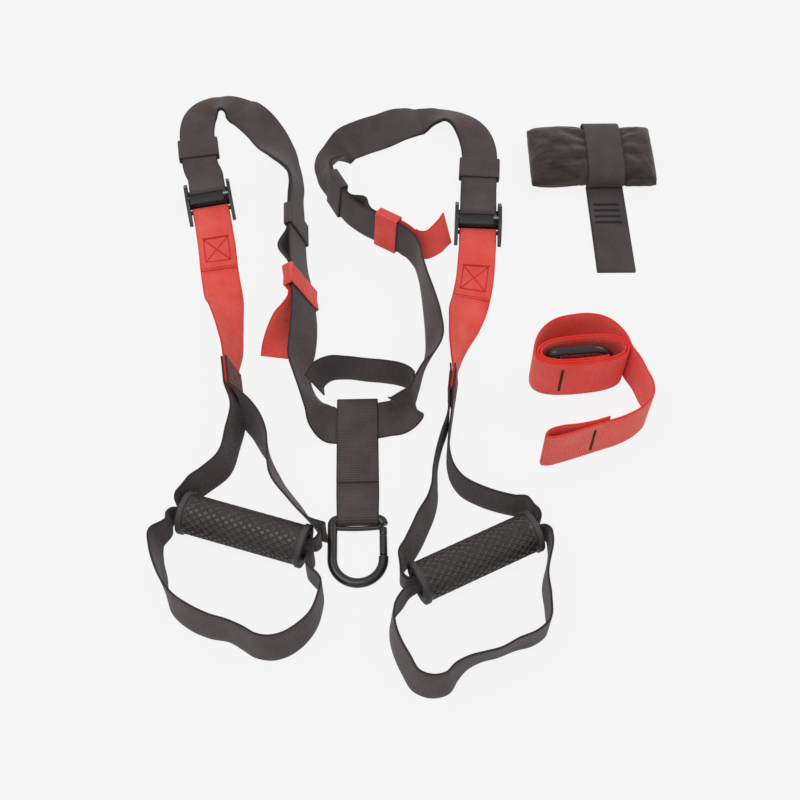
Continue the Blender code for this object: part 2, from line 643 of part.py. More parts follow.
def make_anchor():
    bottom, middle, top = WEB_T / 2, WEB_T / 2 + PITCH, WEB_T / 2 + 2 * PITCH
    bend = (top - bottom) / 2
    north = ANCHOR_LEN - bend
    path = [(SEAM_SHARE * ANCHOR_LEN, top), (north * 0.55, top), (north, top)]
    path += [(north + bend * math.sin(a), bottom + bend + bend * math.cos(a))
             for a in np.linspace(0, math.pi, 7)[1:-1]]
    path += [(north, bottom), (0.0, bottom)]
    path += [(-HOOK_WRAP_R * math.sin(a), HOOK_HEIGHT - HOOK_WRAP_R * math.cos(a))
             for a in np.linspace(0, math.pi * 1.10, 13)[1:]]
    path += [(SEAM_SHARE * ANCHOR_LEN * 0.72, middle + GAP), (SEAM_SHARE * ANCHOR_LEN, middle),
             (LAP_SHARE * ANCHOR_LEN * 0.8, middle)]
    centre = np.array([[0.0, y, z] for y, z in path])
    pinch = 1 - (1 - HOOK_GATHER) * np.clip(1 - centre[:, 1] / (SEAM_SHARE * ANCHOR_LEN * 0.7), 0, 1)
    run = Run(centre, np.repeat([[-1.0, 0.0, 0.0]], len(centre), 0), pinch)
    strap = webbing("anchor_strap", run, BLACK)
    moved(strap, anchor_matrix())


def hook_path():
    """Rod's middle line of the carabiner, from the hinge round to the nose."""
    half = HOOK_W / 2 - ROD_R
    top, end = -ROD_R, -HOOK_LEN + ROD_R
    corner = HOOK_CORNER
    points = [(half, top - corner - 0.2 * ROD_R)]
    points += [(half - corner + corner * math.cos(a), top - corner + corner * math.sin(a))
               for a in np.linspace(0, math.pi / 2, 5)]
    points += [(-half + corner - corner * math.sin(a), top - corner + corner * math.cos(a))
               for a in np.linspace(0, math.pi / 2, 5)]
    bow = end + half
    points += [(-half * math.cos(a), bow - half * math.sin(a)) for a in np.linspace(0, math.pi, 17)]
    points += [(half, -(ROD_R + HOOK_CORNER + GATE_LEN + 1.5 * GATE_GAP))]
    return points


def make_carabiner(prefix, matrix):
    """A D-shaped hook lying in its XY plane, top bar's middle line at the origin."""
    path = np.array([(x, y + ROD_R, 0.0) for x, y in hook_path()])
    frame = tube(prefix + "_frame", path, ROD_R, 8, METAL_BLACK, 0.35, 0.9)
    half = HOOK_W / 2 - ROD_R
    drop = ROD_R + WEB_T + 3 * GAP + EYE_R
    eye = [(-half - ROD_R / 3, -drop * 0.35)]
    eye += [(s * (half - ROD_R * 0.9), -drop * (1.12 - 0.12 * s * s)) for s in np.linspace(-1, 1, 9)]
    eye += [(half + ROD_R / 3, -drop * 0.35)]
    arch = tube(prefix + "_eye", [(x, y, 0.0) for x, y in eye], EYE_R, 6, METAL_BLACK)
    hinge_y = -(HOOK_CORNER + 0.55 * ROD_R + ROD_R)
    lug = prism(prefix + "_lug", [(half - GATE_R * 0.8, -HOOK_CORNER), (half - GATE_R * 0.8, hinge_y - HINGE_R * 1.8),
                                  (half + GATE_R * 0.8, hinge_y - HINGE_R * 1.8), (half + GATE_R * 0.8, -HOOK_CORNER)],
                -LUG_T / 2, LUG_T / 2, 'Z', METAL_BLACK)
    combine(frame, [arch, lug], 'UNION')
    hole = prism(prefix + "_hole", circle(HINGE_R + PIN_CLEAR, 10, half, hinge_y), -ROD_R, ROD_R, 'Z', METAL_BLACK)
    combine(frame, [hole], 'DIFFERENCE')

    start = hinge_y + HINGE_R * 1.9
    stop = -(HOOK_CORNER + GATE_LEN)
    gate = tube(prefix + "_gate", [(half, start, 0.0), (half, stop * 0.55, 0.0), (half, stop, 0.0)],
                GATE_R, 10, METAL_BLACK, 0.35, 0.9)
    slot = prism(prefix + "_slot", [(half - 2 * GATE_R, start + GATE_R), (half - 2 * GATE_R, hinge_y - HINGE_R * 3.2),
                                    (half + 2 * GATE_R, hinge_y - HINGE_R * 3.2), (half + 2 * GATE_R, start + GATE_R)],
                 -LUG_T / 2 - GAP, LUG_T / 2 + GAP, 'Z', METAL_BLACK)
    bore = tube(prefix + "_bore", [(half, hinge_y, 0.0), (half, stop * 0.62, 0.0)], GATE_BORE_R, 8, METAL_BLACK)
    eyelet = prism(prefix + "_eyelet", circle(HINGE_R + PIN_CLEAR, 10, half, hinge_y), -2 * GATE_R, 2 * GATE_R,
                   'Z', METAL_BLACK)
    combine(gate, [slot, bore, eyelet], 'DIFFERENCE')
    pin = prism(prefix + "_gate_pin", circle(HINGE_R, 10, half, hinge_y), -GATE_R * 0.9, GATE_R * 0.9, 'Z',
                STEEL, 0.3, 1.0)
    turns, per = 6, 8
    phase = np.arange(turns * per + 1) * 2 * math.pi / per
    first, last = hinge_y - HINGE_R * 3.4, stop * 0.62 + 3 * GAP
    coil_r = GATE_BORE_R - SPRING_WIRE_R - GAP / 2
    points = np.stack([half + coil_r * np.cos(phase), np.linspace(first, last, len(phase)),
                       coil_r * np.sin(phase)], 1)
    spring = tube(prefix + "_gate_spring", points, SPRING_WIRE_R, 4, STEEL, 0.3, 1.0, axis=np.array([0.0, 1.0, 0.0]))
    for piece in (frame, gate, pin, spring):
        moved(piece, matrix)
    return (half, hinge_y)


# Lower straps: (x, y, lean, lift in layers) from below the buckle to the sewn end
LOWER_SHARES = {
    "left": ((-1.875, 1.85, 180, 0), (-1.815, 1.50, 180, 0), (-1.76, 1.25, 174, 0), (-1.695, 0.98, 145, 0),
             (-1.64, 0.72, 128, 0), (-1.60, 0.50, 118, 0.2), (-1.585, 0.30, 106, 0.4),
             (-1.555, 0.12, 105, 0.4), (-1.53, -0.03, 105, 0.4)),
    "right": ((0.777, 1.68, 180, 0), (0.75, 1.42, 180, 0), (0.703, 1.17, 176, 0), (0.63, 0.88, 150, 0),
              (0.57, 0.66, 126, 0), (0.53, 0.48, 112, 0), (0.505, 0.28, 100, 0.2),
              (0.495, 0.08, 93, 0.2), (0.47, -0.10, 92, 0.2)),
}
FLAP_SHARES = {"left": 0.92, "right": 0.98}


def lower_run(side):
    half = PLATE_LEN / 2
    low = STRAP_BAR_HEIGHT - STRAP_WRAP_R
    across = np.array(buckle_matrix(side).to_3x3() @ Vector((-1, 0, 0)))
    near = [[*buckle_point(side, -STRAP_BAR_BACK, low), *across],
            [*buckle_point(side, -half * 1.05, low - GAP / 2), *across]]
    return run_through(np.vstack([near, plan_knots(LOWER_SHARES[side])]))


def make_lower(side):
    run = lower_run(side)
    rings = run.part(run.picks())
    across = rings.w[0]
    turns = np.linspace(math.pi / 2, -math.pi / 2, 9)[:-1]
    arc = [buckle_point(side, -STRAP_BAR_BACK + STRAP_WRAP_R * math.cos(a),
                        STRAP_BAR_HEIGHT + STRAP_WRAP_R * math.sin(a)) for a in turns]
    half = PLATE_LEN / 2
    high = STRAP_BAR_HEIGHT + STRAP_WRAP_R
    second = WEB_T / 2 + PITCH + GAP
    flap = FLAP_SHARES[side] * SPREAD_LEN
    top = [(-flap, second), (-flap * 0.8, second), (-half * 1.45, second), (-half * 1.1, second + GAP * 3),
           (-half * 0.8, (high + second) / 2), (-half * 0.6, high - 2 * GAP), (-STRAP_BAR_BACK - GAP, high)]
    flap_rows = []
    origin = np.array(buckle_point(side, 0.0, 0.0))
    for along, height in top:
        spot = buckle_point(side, along, 0.0)
        if along < -half * 1.4:
            i = int(np.argmin(np.abs(np.linalg.norm(run.c[:, :2] - origin[:2], axis=1) + along)))
            spot = run.c[i]
        flap_rows.append([spot[0], spot[1], height, *across])
    upper = run_through(np.array(flap_rows))
    upper = upper.part(upper.picks())
    wrap = Run(np.array(arc), np.repeat(across[None], len(arc), 0))
    wrap.t = np.array([np.array(buckle_matrix(side).to_3x3() @ Vector((0, math.sin(a), -math.cos(a))))
                       for a in turns])
    wrap.n = np.cross(wrap.t, wrap.w)
    chain = joined([upper, wrap, rings])
    webbing("lower_strap_" + side, chain, RED)
    return run


# Grips: (x, y, turn) of the inner end, next to the other grip; the axis lies along local X
GRIP_PLACE_SHARES = {"left": (-0.7895, -1.5987, -17.0), "right": (0.1375, -1.9372, 26.2)}
GRIP_SIDE = {"left": -1.0, "right": 1.0}
BESIDE = WEB_T / GATHER / 2 + 2.5 * GAP
BORE_R = math.hypot(WEB_W * GATHER / 2, BESIDE + WEB_T / GATHER / 2) + BORE_CLEAR
GRIP_R = BORE_R + CORE_WALL + GAP + SLEEVE_WALL
GRIP_HEIGHT = GRIP_R + CAP_RIM
LAP_LEN = 0.030
# Places at a grip's end: out past the rim and sideways as shares of its radius, gather
TIGHT_END_SHARES = ((0.38, 0.90, 0.84), (0.50, 0.54, 0.74), (0.38, 0.24, 0.62))
WIDE_END_SHARES = ((0.88, 0.36, 0.95), (0.55, 0.18, 0.75))
HANDLE_SHARES = {
    "left": (((-1.475, -0.27, 104), (-1.50, -0.52, 103), (-1.56, -0.80, 100), (-1.70, -0.95, 97),
              (-1.825, -1.06, 94)),
             ((-0.635, -1.47, 88), (-0.75, -1.38, 78), (-0.92, -1.165, 71), (-1.075, -0.95, 72),
              (-1.145, -0.75, 84), (-1.21, -0.58, 100), (-1.29, -0.41, 106), (-1.41, -0.235, 106))),
    "right": (((0.43, -0.36, 90), (0.37, -0.56, 90), (0.325, -0.76, 92), (0.308, -0.93, 96),
               (0.30, -1.08, 98), (0.265, -1.22, 100), (0.20, -1.36, 104), (0.14, -1.50, 104),
               (0.075, -1.63, 102), (0.01, -1.74, 97)),
              ((1.10, -1.235, 90), (0.97, -1.205, 90), (0.84, -1.17, 90), (0.70, -1.115, 90),
               (0.535, -1.01, 90), (0.465, -0.90, 90), (0.43, -0.75, 90), (0.43, -0.60, 90),
               (0.455, -0.40, 90))),
}
FOOT_SHARES = {
    "left": ((-2.065, -1.52, 99), (-2.05, -1.66, 99), (-2.00, -1.81, 98), (-1.955, -1.94, 92),
             (-1.87, -2.10, 82), (-1.72, -2.22, 78), (-1.55, -2.30, 79), (-1.38, -2.345, 82),
             (-1.27, -2.40, 80), (-1.16, -2.465, 79), (-1.03, -2.485, 79), (-0.92, -2.455, 80),
             (-0.805, -2.375, 82), (-0.705, -2.25, 86), (-0.66, -2.11, 88), (-0.645, -1.98, 90)),
    "right": ((-0.055, -2.20, 86), (-0.06, -2.33, 84), (-0.02, -2.48, 82), (0.05, -2.625, 80),
              (0.13, -2.755, 80), (0.255, -2.80, 80), (0.37, -2.775, 81), (0.45, -2.68, 86),
              (0.54, -2.61, 93), (0.66, -2.56, 98), (0.79, -2.525, 98), (0.94, -2.455, 95),
              (1.09, -2.40, 92), (1.195, -2.31, 90), (1.215, -2.12, 91), (1.205, -1.92, 91)),
}


def grip_matrix(side):
    x, y, turn = GRIP_PLACE_SHARES[side]
    inner = place_matrix(x * SPREAD_LEN, y * SPREAD_LEN, GRIP_HEIGHT, math.radians(turn))
    return inner @ Matrix.Translation((GRIP_SIDE[side] * GRIP_LEN / 2, 0, 0))


def with_gather(knots, gather):
    return np.column_stack([knots, np.broadcast_to(gather, len(knots))])


def end_knots(side, end, bank, shares, depth):
    """Knots from outside the rim into the bore: end and bank are the signs of X and Y."""
    matrix = grip_matrix(side)
    half = GRIP_LEN / 2
    rows = []
    for out, lateral, gather in shares:
        height = (WEB_W / 2 - GRIP_HEIGHT) * (gather - GATHER) / (1 - GATHER)
        rows.append(((half + out * GRIP_R) * end, lateral * GRIP_R * bank, height, gather))
    for inset in (-0.15 * GRIP_R, 0.4 * depth, depth):
        rows.append(((half - inset) * end, BESIDE * bank, 0.0, GATHER))
    made = []
    for x, y, z, gather in rows:
        made.append([*(matrix @ Vector((x, y, z))), 0.0, 0.0, 1.0, gather])
    return np.array(made)


def make_handle(side, lower):
    first, second = HANDLE_SHARES[side]
    walk = np.cumsum(np.linalg.norm(np.diff(lower.c, axis=0), axis=1))
    start = int(np.argmin(np.abs(walk - (walk[-1] - LAP_LEN))))
    rings = lower.picks()
    lap = rings[np.searchsorted(rings, start):]
    west = lower.part(lap).shifted(PITCH)
    east = lower.part(lap).shifted(-PITCH).reversed()
    going = with_gather(plan_knots(first), 1.0)
    coming = with_gather(plan_knots(second), 1.0)
    enter = end_knots(side, -1, 1, TIGHT_END_SHARES, GRIP_LEN / 3)
    leave = end_knots(side, 1, 1, TIGHT_END_SHARES, GRIP_LEN / 3)[::-1]
    top = np.array([[*west.c[-1], *west.w[-1], 1.0]])
    last = np.array([[*east.c[0], *east.w[0], 1.0]])
    middle = run_through(np.vstack([top, going, enter, leave, coming, last]))
    index = middle.picks(turn=math.radians(18.0))[1:-1]
    chain = joined([west, middle.part(index), east])
    flips = np.zeros(len(chain.c), bool)
    flips[len(chain.c) - len(lap):] = True
    webbing("handle_strap_" + side, chain, BLACK, flips=flips)


def make_foot_loop(side):
    first = TIGHT_END_SHARES if side == "left" else WIDE_END_SHARES
    inset = GRIP_R * 0.7
    enter = end_knots(side, -1, -1, first, inset)[::-1]
    leave = end_knots(side, 1, -1, TIGHT_END_SHARES, inset)
    knots = np.vstack([enter, with_gather(plan_knots(FOOT_SHARES[side]), 1.0), leave])
    run = run_through(knots)
    webbing("foot_loop_" + side, run.part(run.picks(turn=math.radians(18.0))), BLACK)


def make_grip(side):
    matrix = grip_matrix(side)
    half = GRIP_LEN / 2
    inner = half - CAP_T
    sides = 24
    sleeve_in = GRIP_R - SLEEVE_WALL
    body = lathe("grip_sleeve_" + side, [(-inner + GAP, GRIP_R), (inner - GAP, GRIP_R),
                                         (inner - GAP, sleeve_in), (-inner + GAP, sleeve_in)],
                 sides, PLASTIC, 0.6)
    core = lathe("grip_core_" + side, [(-inner + GAP, sleeve_in - GAP), (inner - GAP, sleeve_in - GAP),
                                       (inner - GAP, BORE_R), (-inner + GAP, BORE_R)], sides, PLASTIC, 0.5)
    rim = GRIP_R + CAP_RIM
    soft = CAP_RIM * 1.2
    for end, word in ((-1, "inner" if side == "right" else "outer"), (1, "outer" if side == "right" else "inner")):
        profile = [(end * inner, BORE_R), (end * inner, rim), (end * (half - soft), rim),
                   (end * half, rim - soft), (end * half, BORE_R + soft), (end * (half - soft), BORE_R)]
        cap = lathe(f"grip_cap_{side}_{word}", profile, sides, PLASTIC, 0.5)
        moved(cap, matrix)
    moved(body, matrix)
    moved(core, matrix)


# Door anchor: pad with its wrap strap and a loop strap towards the viewer
PAD_SHARES = (2.058, 3.03, 0.5)
WRAP_SHARES = (0.17, 0.0)
SQUEEZE = 0.72
LOOP_REACH = 0.149
WRAP_SLACK = 1.15
FOLD_R = PITCH / 2


def pad_section(u, v):
    """Half height of the pad at shares of its half length and half depth."""
    edge = (1 - np.abs(u) ** 3.2) * (1 - np.abs(v) ** 2.6)
    belt = np.exp(-((u - WRAP_SHARES[0]) / 0.30) ** 4)
    return PAD_H / 2 * np.clip(edge, 0, 1) ** 0.42 * (1 - (1 - SQUEEZE) * belt)


def pad_point(u, v):
    """Plan of the pad: sides drawn in at the middle, corners rounded."""
    belt = np.exp(-((u - WRAP_SHARES[0]) / 0.36) ** 4)
    x = u * PAD_L / 2 * (1 - 0.035 * (1 - v**2) - 0.05 * v**4)
    y = v * PAD_D / 2 * (1 - 0.05 * (1 - u**2) - 0.07 * u**6 - 0.06 * belt)
    return x, y


def make_door_pad(matrix):
    nu, nv = 23, 13
    u = np.sin(np.linspace(-0.5, 0.5, nu) * math.pi * 0.92) / math.sin(0.46 * math.pi)
    v = np.sin(np.linspace(-0.5, 0.5, nv) * math.pi)
    uu, vv = np.meshgrid(u, v, indexing="ij")
    x, y = pad_point(uu, vv)
    half = pad_section(uu, vv)
    middle = PAD_H / 2 * SQUEEZE
    inner = (np.abs(uu) < 1 - 1e-9) & (np.abs(vv) < 1 - 1e-9)
    top = middle + half
    low = np.maximum(middle - half, 0.0)
    index, verts = {}, []
    for layer, height in (("top", top), ("low", low)):
        for i in range(nu):
            for j in range(nv):
                if layer == "low" and not inner[i, j]:
                    index[layer, i, j] = index["top", i, j]
                    continue
                index[layer, i, j] = len(verts)
                verts.append((x[i, j], y[i, j], height[i, j] if inner[i, j] else middle))
    faces = []
    for i in range(nu - 1):
        for j in range(nv - 1):
            quad = [(i, j), (i + 1, j), (i + 1, j + 1), (i, j + 1)]
            faces.append([index["top", a, b] for a, b in quad])
            faces.append([index["low", a, b] for a, b in quad][::-1])
    pad = make_object("door_pad", verts, faces, BLACK, 0.95, smooth=60.0)
    moved(pad, matrix)


def make_door_straps(matrix):
    """Wrap strap close round the pad, and the folded loop strap sewn below it."""
    u0 = WRAP_SHARES[0]
    centre_x = u0 * PAD_L / 2
    middle = PAD_H / 2 * SQUEEZE
    reach = WEB_T / 2 + 2 * GAP
    v = np.sin(np.linspace(-0.5, 0.5, 15) * math.pi)
    us = u0 + np.linspace(-1, 1, 7)[:, None] * DOOR_WEB_W / PAD_L
    half = np.max(pad_section(us, v[None, :]), axis=0)
    y = np.max(np.abs(pad_point(us, np.abs(v)[None, :])[1]), axis=0) * np.sign(v)
    y = np.where(y > 0, y * WRAP_SLACK, y)
    top = np.stack([y, np.maximum(middle + half, middle) + 0 * v], 1)
    bottom = np.stack([y[::-1], np.maximum(middle - half[::-1], 0.0)], 1)
    loop = np.vstack([top, bottom[1:-1]])
    tangent = np.roll(loop, -1, 0) - np.roll(loop, 1, 0)
    normal = unit(np.stack([-tangent[:, 1], tangent[:, 0]], 1))
    outer = loop + normal * (reach + WEB_T / 2)
    inner = loop + normal * (reach - WEB_T / 2)
    count = len(loop)
    verts, faces = [], []
    for ring in (outer, inner):
        for x in (-DOOR_WEB_W / 2, DOOR_WEB_W / 2):
            verts += [(centre_x + x, a, b) for a, b in ring]
    for k in range(count):
        n = (k + 1) % count
        faces += [(k, n, n + count, k + count), (k + 2 * count, k + 3 * count, n + 3 * count, n + 2 * count),
                  (k, k + 2 * count, n + 2 * count, n), (k + count, n + count, n + 3 * count, k + 3 * count)]
    wrap = make_object("door_wrap_strap", verts, faces, BLACK, 0.85)
    low = min(p[2] for p in verts)
    lift = Matrix.Translation((0, 0, -low))
    moved(wrap, matrix @ lift)

    top_z = WEB_T / 2 + PITCH
    under = np.vstack([outer[:1], outer[:len(y) - 1:-1]])[:len(y) // 2 + 1] - (0.0, low)
    clear = top_z + WEB_T / 2 + GAP
    south = float(np.interp(-clear, -under[:, 1], under[:, 0])) - GAP
    end = -LOOP_REACH
    bend = [(end - FOLD_R * math.sin(a), WEB_T / 2 + FOLD_R - FOLD_R * math.cos(a))
            for a in np.linspace(0, math.pi, 5)]
    path = [(south, WEB_T / 2), (south * 0.45 + end * 0.55, WEB_T / 2), *bend,
            (south * 0.45 + end * 0.55, top_z), (south, top_z)]
    centre = np.array([[centre_x, a, b] for a, b in path])
    run = Run(centre, np.repeat([[1.0, 0.0, 0.0]], len(centre), 0))
    strap = webbing("door_loop_strap", run, BLACK, width=DOOR_WEB_W)
    moved(strap, matrix)
    return lift


# Extension strap: a clockwise winding on edge, then a tail that ends in a sewn loop
COIL_SHARES = (1.665, 0.235, 6.0)
TAIL_SHARES = ((2.185, 0.13), (2.225, 0.00), (2.262, -0.13), (2.245, -0.265), (2.14, -0.385), (1.99, -0.475),
               (1.80, -0.545), (1.62, -0.61), (1.45, -0.668), (1.31, -0.70))
TAIL_FOLD = 0.0035
FOLD_BACK_SHARES = ((1.40, -0.592), (1.55, -0.570), (1.70, -0.538), (1.84, -0.492))


def make_extension():
    theta = np.radians(-60.0) - np.linspace(0, COIL_TURNS_SHARE * 2 * math.pi, int(24 * COIL_TURNS_SHARE) + 1)
    turn = (np.radians(-60.0) - theta) / (2 * math.pi)
    cos, sin = np.cos(theta), np.sin(theta)
    late = np.clip((turn - 2.0) / 0.83, 0, 1)
    loose = np.maximum(sin, 0.0) ** 1.5 * late ** 0.5 * COIL_LOOSE
    x = (COIL_A + COIL_GROW * turn) * np.sign(cos) * np.abs(cos) ** 0.72
    y = (COIL_B + COIL_GROW * turn) * np.sign(sin) * np.abs(sin) ** 0.85 + loose
    cx, cy, tilt = COIL_SHARES
    a = math.radians(tilt)
    plan = np.stack([cx * SPREAD_LEN + x * math.cos(a) - y * math.sin(a),
                     cy * SPREAD_LEN + x * math.sin(a) + y * math.cos(a)], 1)
    tail = np.array(TAIL_SHARES) * SPREAD_LEN
    tip = tail[-1] + unit(tail[-1] - tail[-2]) * TAIL_FOLD
    back = np.array(FOLD_BACK_SHARES) * SPREAD_LEN
    normal = np.array([-(tail[-1] - tail[-2])[1], (tail[-1] - tail[-2])[0]])
    side = unit(normal) * -TAIL_FOLD
    hook = [tip + side * 0.4, tip + side, tail[-1] + side * 1.9]
    plan = np.vstack([plan, tail, hook, back])
    height = np.full(len(plan), WIDE_WEB_W / 2)
    knots = np.column_stack([plan, height, np.repeat([[0.0, 0.0, 1.0]], len(plan), 0)])
    run = run_through(knots, WIDE_WEB_W)
    flat = run.c[:, :2]
    far = np.linalg.norm(flat[:, None] - flat[None], axis=2)
    walk = np.arange(len(flat)) * DENSE
    apart = np.abs(walk[:, None] - walk[None]) > 0.02
    print("extension strap: least gap to itself %.2f mm" % ((far[apart].min() - WEB_T) * 1000))
    rings = run.part(run.picks(turn=math.radians(14.0)))
    webbing("extension_strap", rings, RED, width=WIDE_WEB_W)


def settle_on_floor():
    """Put the middle of the layout's box over the origin and its lowest point on the floor."""
    corners = []
    for item in bpy.context.scene.objects:
        if item.type == 'MESH':
            corners += [item.matrix_world @ v.co for v in item.data.vertices]
    low = Vector([min(c[k] for c in corners) for k in range(3)])
    high = Vector([max(c[k] for c in corners) for k in range(3)])
    middle = bpy.data.objects.new("layout", None)
    bpy.context.scene.collection.objects.link(middle)
    middle.location = (-(low.x + high.x) / 2, -(low.y + high.y) / 2, -low.z)
    for item in bpy.context.scene.objects:
        if item.type == 'MESH':
            item.parent = middle
    bpy.context.view_layer.update()
    return middle.location


def main():
    clear_scene()
    make_anchor()
    make_equalizer()
    tilt = math.asin((HOOK_HEIGHT - ROD_R) / (HOOK_LEN - 2 * ROD_R))
    hook = anchor_matrix() @ Matrix.Translation((0, 0, HOOK_HEIGHT)) @ Matrix.Rotation(tilt, 4, 'X')
    make_carabiner("carabiner", hook)
    for side in ("left", "right"):
        run = main_run(side)
        rings = run.picks()
        make_main(side, run, rings)
        make_keepers(side, run)
        make_adjuster(side, run)
        make_buckle(side)
        lower = make_lower(side)
        make_handle(side, lower)
        make_grip(side)
        make_foot_loop(side)
    pad_x, pad_y, pad_turn = PAD_SHARES
    door = place_matrix(pad_x * SPREAD_LEN, pad_y * SPREAD_LEN, 0.0, math.radians(pad_turn))
    lift = make_door_straps(door)
    make_door_pad(door @ lift)
    make_extension()
    cx, cy, tilt = COIL_SHARES
    stand = place_matrix(cx * SPREAD_LEN, cy * SPREAD_LEN, HOOK_W / 2, math.radians(tilt + 180))
    stand = stand @ Matrix.Translation((HOOK_LEN / 2 - ROD_R, 0, 0)) @ Matrix.Rotation(-math.pi / 2, 4, 'Z')
    stand = stand @ Matrix.Rotation(math.pi / 2, 4, 'Y')
    make_carabiner("extension_carabiner", stand)
    print("layout moved by", tuple(settle_on_floor()))


main()
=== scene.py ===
"""Looks of a webbing suspension trainer laid out on a pale floor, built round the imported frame."""
import math

import bmesh
import bpy
import numpy as np
from mathutils import Matrix, Vector


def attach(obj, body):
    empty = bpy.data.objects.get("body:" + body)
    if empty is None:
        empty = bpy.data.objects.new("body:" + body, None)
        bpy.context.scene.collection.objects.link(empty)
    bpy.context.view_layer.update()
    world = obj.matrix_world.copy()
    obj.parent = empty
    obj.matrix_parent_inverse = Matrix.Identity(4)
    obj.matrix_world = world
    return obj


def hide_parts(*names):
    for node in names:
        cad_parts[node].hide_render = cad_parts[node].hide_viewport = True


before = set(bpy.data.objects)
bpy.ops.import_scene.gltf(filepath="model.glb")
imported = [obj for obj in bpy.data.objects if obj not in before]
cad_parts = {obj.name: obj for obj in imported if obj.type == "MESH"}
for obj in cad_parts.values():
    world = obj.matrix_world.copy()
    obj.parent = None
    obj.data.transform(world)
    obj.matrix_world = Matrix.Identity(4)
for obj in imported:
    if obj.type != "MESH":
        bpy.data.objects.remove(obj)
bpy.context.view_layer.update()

MM = 0.001
# The construction's own sizes, in metres; counts and shares have no unit
SPREAD_LEN = 0.1
WEB_W, WEB_T, GAP = 0.038, 0.0018, 0.0003
PITCH = WEB_T + GAP
DENSE = 0.0015
KEEPER_LEN, KEEPER_WALL, KEEPER_PLAY, COLLAR_LEN = 0.027, 0.0016, 0.0011, 0.025
PLATE_LEN, BASE_T, BAR_R = 0.054, 0.0012, 0.002
STRAP_BAR_R, STRAP_BAR_BACK = 0.0022, 0.0125
HOOK_LEN, HOOK_W, ROD_R, HOOK_CORNER = 0.0655, 0.0508, 0.0035, 0.0046
EYE_R, GATE_R, GATE_LEN, GATE_GAP = 0.0016, 0.0034, 0.0295, 0.0006
GRIP_LEN, SLEEVE_WALL, CORE_WALL, BORE_CLEAR = 0.112, 0.0040, 0.0016, 0.00096
CAP_T, CAP_RIM, GATHER = 0.005, 0.0014, 0.52
PAD_L, PAD_D, PAD_H, DOOR_WEB_W = 0.134, 0.082, 0.031, 0.039
WIDE_WEB_W, COIL_A, COIL_B, COIL_GROW = 0.050, 0.0375, 0.0105, 0.0027
COIL_TURNS, COIL_LOOSE = 2.8333, 0.026
WRAP_R = BAR_R + GAP + WEB_T / 2
BAR_HEIGHT = BASE_T + 2 * GAP + WEB_T / 2 + WRAP_R
STRAP_BAR_HEIGHT = STRAP_BAR_R + 2 * GAP + WEB_T
STRAP_WRAP_R = STRAP_BAR_R + GAP + WEB_T / 2
HOOK_WRAP_R = ROD_R + GAP + WEB_T / 2
HOOK_HEIGHT = WEB_T / 2 + HOOK_WRAP_R
BESIDE = WEB_T / GATHER / 2 + 2.5 * GAP
BORE_R = math.hypot(WEB_W * GATHER / 2, BESIDE + WEB_T / GATHER / 2) + BORE_CLEAR
GRIP_R = BORE_R + CORE_WALL + GAP + SLEEVE_WALL
GRIP_HEIGHT = GRIP_R + CAP_RIM
UP = np.array([0.0, 0.0, 1.0])


# finishes
def linear(hex_colour):
    """sRGB hex to linear red, green, blue, alpha: the sRGB curve undone channel by channel."""
    c = np.array([int(hex_colour[k:k + 2], 16) / 255 for k in (1, 3, 5)])
    c = np.where(c <= 0.04045, c / 12.92, ((c + 0.055) / 1.055) ** 2.4)
    return (*map(float, c), 1.0)


def add(tree, kind, inputs=None, **settings):
    """One shader node: settings are its properties, inputs maps a socket to a value or to another socket."""
    node = tree.nodes.new(kind)
    for name, value in settings.items():
        setattr(node, name, value)
    for name, value in (inputs or {}).items():
        if isinstance(value, bpy.types.NodeSocket):
            tree.links.new(value, node.inputs[name])
        else:
            node.inputs[name].default_value = value
    return node


def finish(name, **sockets):
    """A Principled material; sockets go straight onto the shader."""
    made = bpy.data.materials.new(name)
    made.use_nodes = True
    shader = made.node_tree.nodes["Principled BSDF"]
    for key, value in sockets.items():
        shader.inputs[key.replace("_", " ")].default_value = value
    return made, made.node_tree, shader


def wave(tree, value, pitch):
    """sin(2 pi value / pitch)"""
    turned = add(tree, "ShaderNodeMath", {0: value, 1: 2 * math.pi / pitch}, operation="MULTIPLY")
    return add(tree, "ShaderNodeMath", {0: turned.outputs[0]}, operation="SINE").outputs[0]


def maths(tree, operation, a, b=0.0, c=0.0):
    return add(tree, "ShaderNodeMath", {0: a, 1: b, 2: c}, operation=operation).outputs[0]


def coloured(tree, shader, factor, dark, light):
    """Base colour from dark to light as factor goes 0 to 1."""
    mixed = add(tree, "ShaderNodeMix", {0: factor, 6: linear(dark), 7: linear(light)}, data_type="RGBA")
    tree.links.new(mixed.outputs[2], shader.inputs["Base Color"])


def noise(tree, vector, scale, detail, **more):
    inputs = {"Vector": vector, "Scale": scale, "Detail": detail, **more}
    return add(tree, "ShaderNodeTexNoise", inputs).outputs[0]


def bumped(tree, shader, strength, distance, height):
    bump = add(tree, "ShaderNodeBump", {"Strength": strength, "Distance": distance, "Height": height})
    tree.links.new(bump.outputs[0], shader.inputs["Normal"])


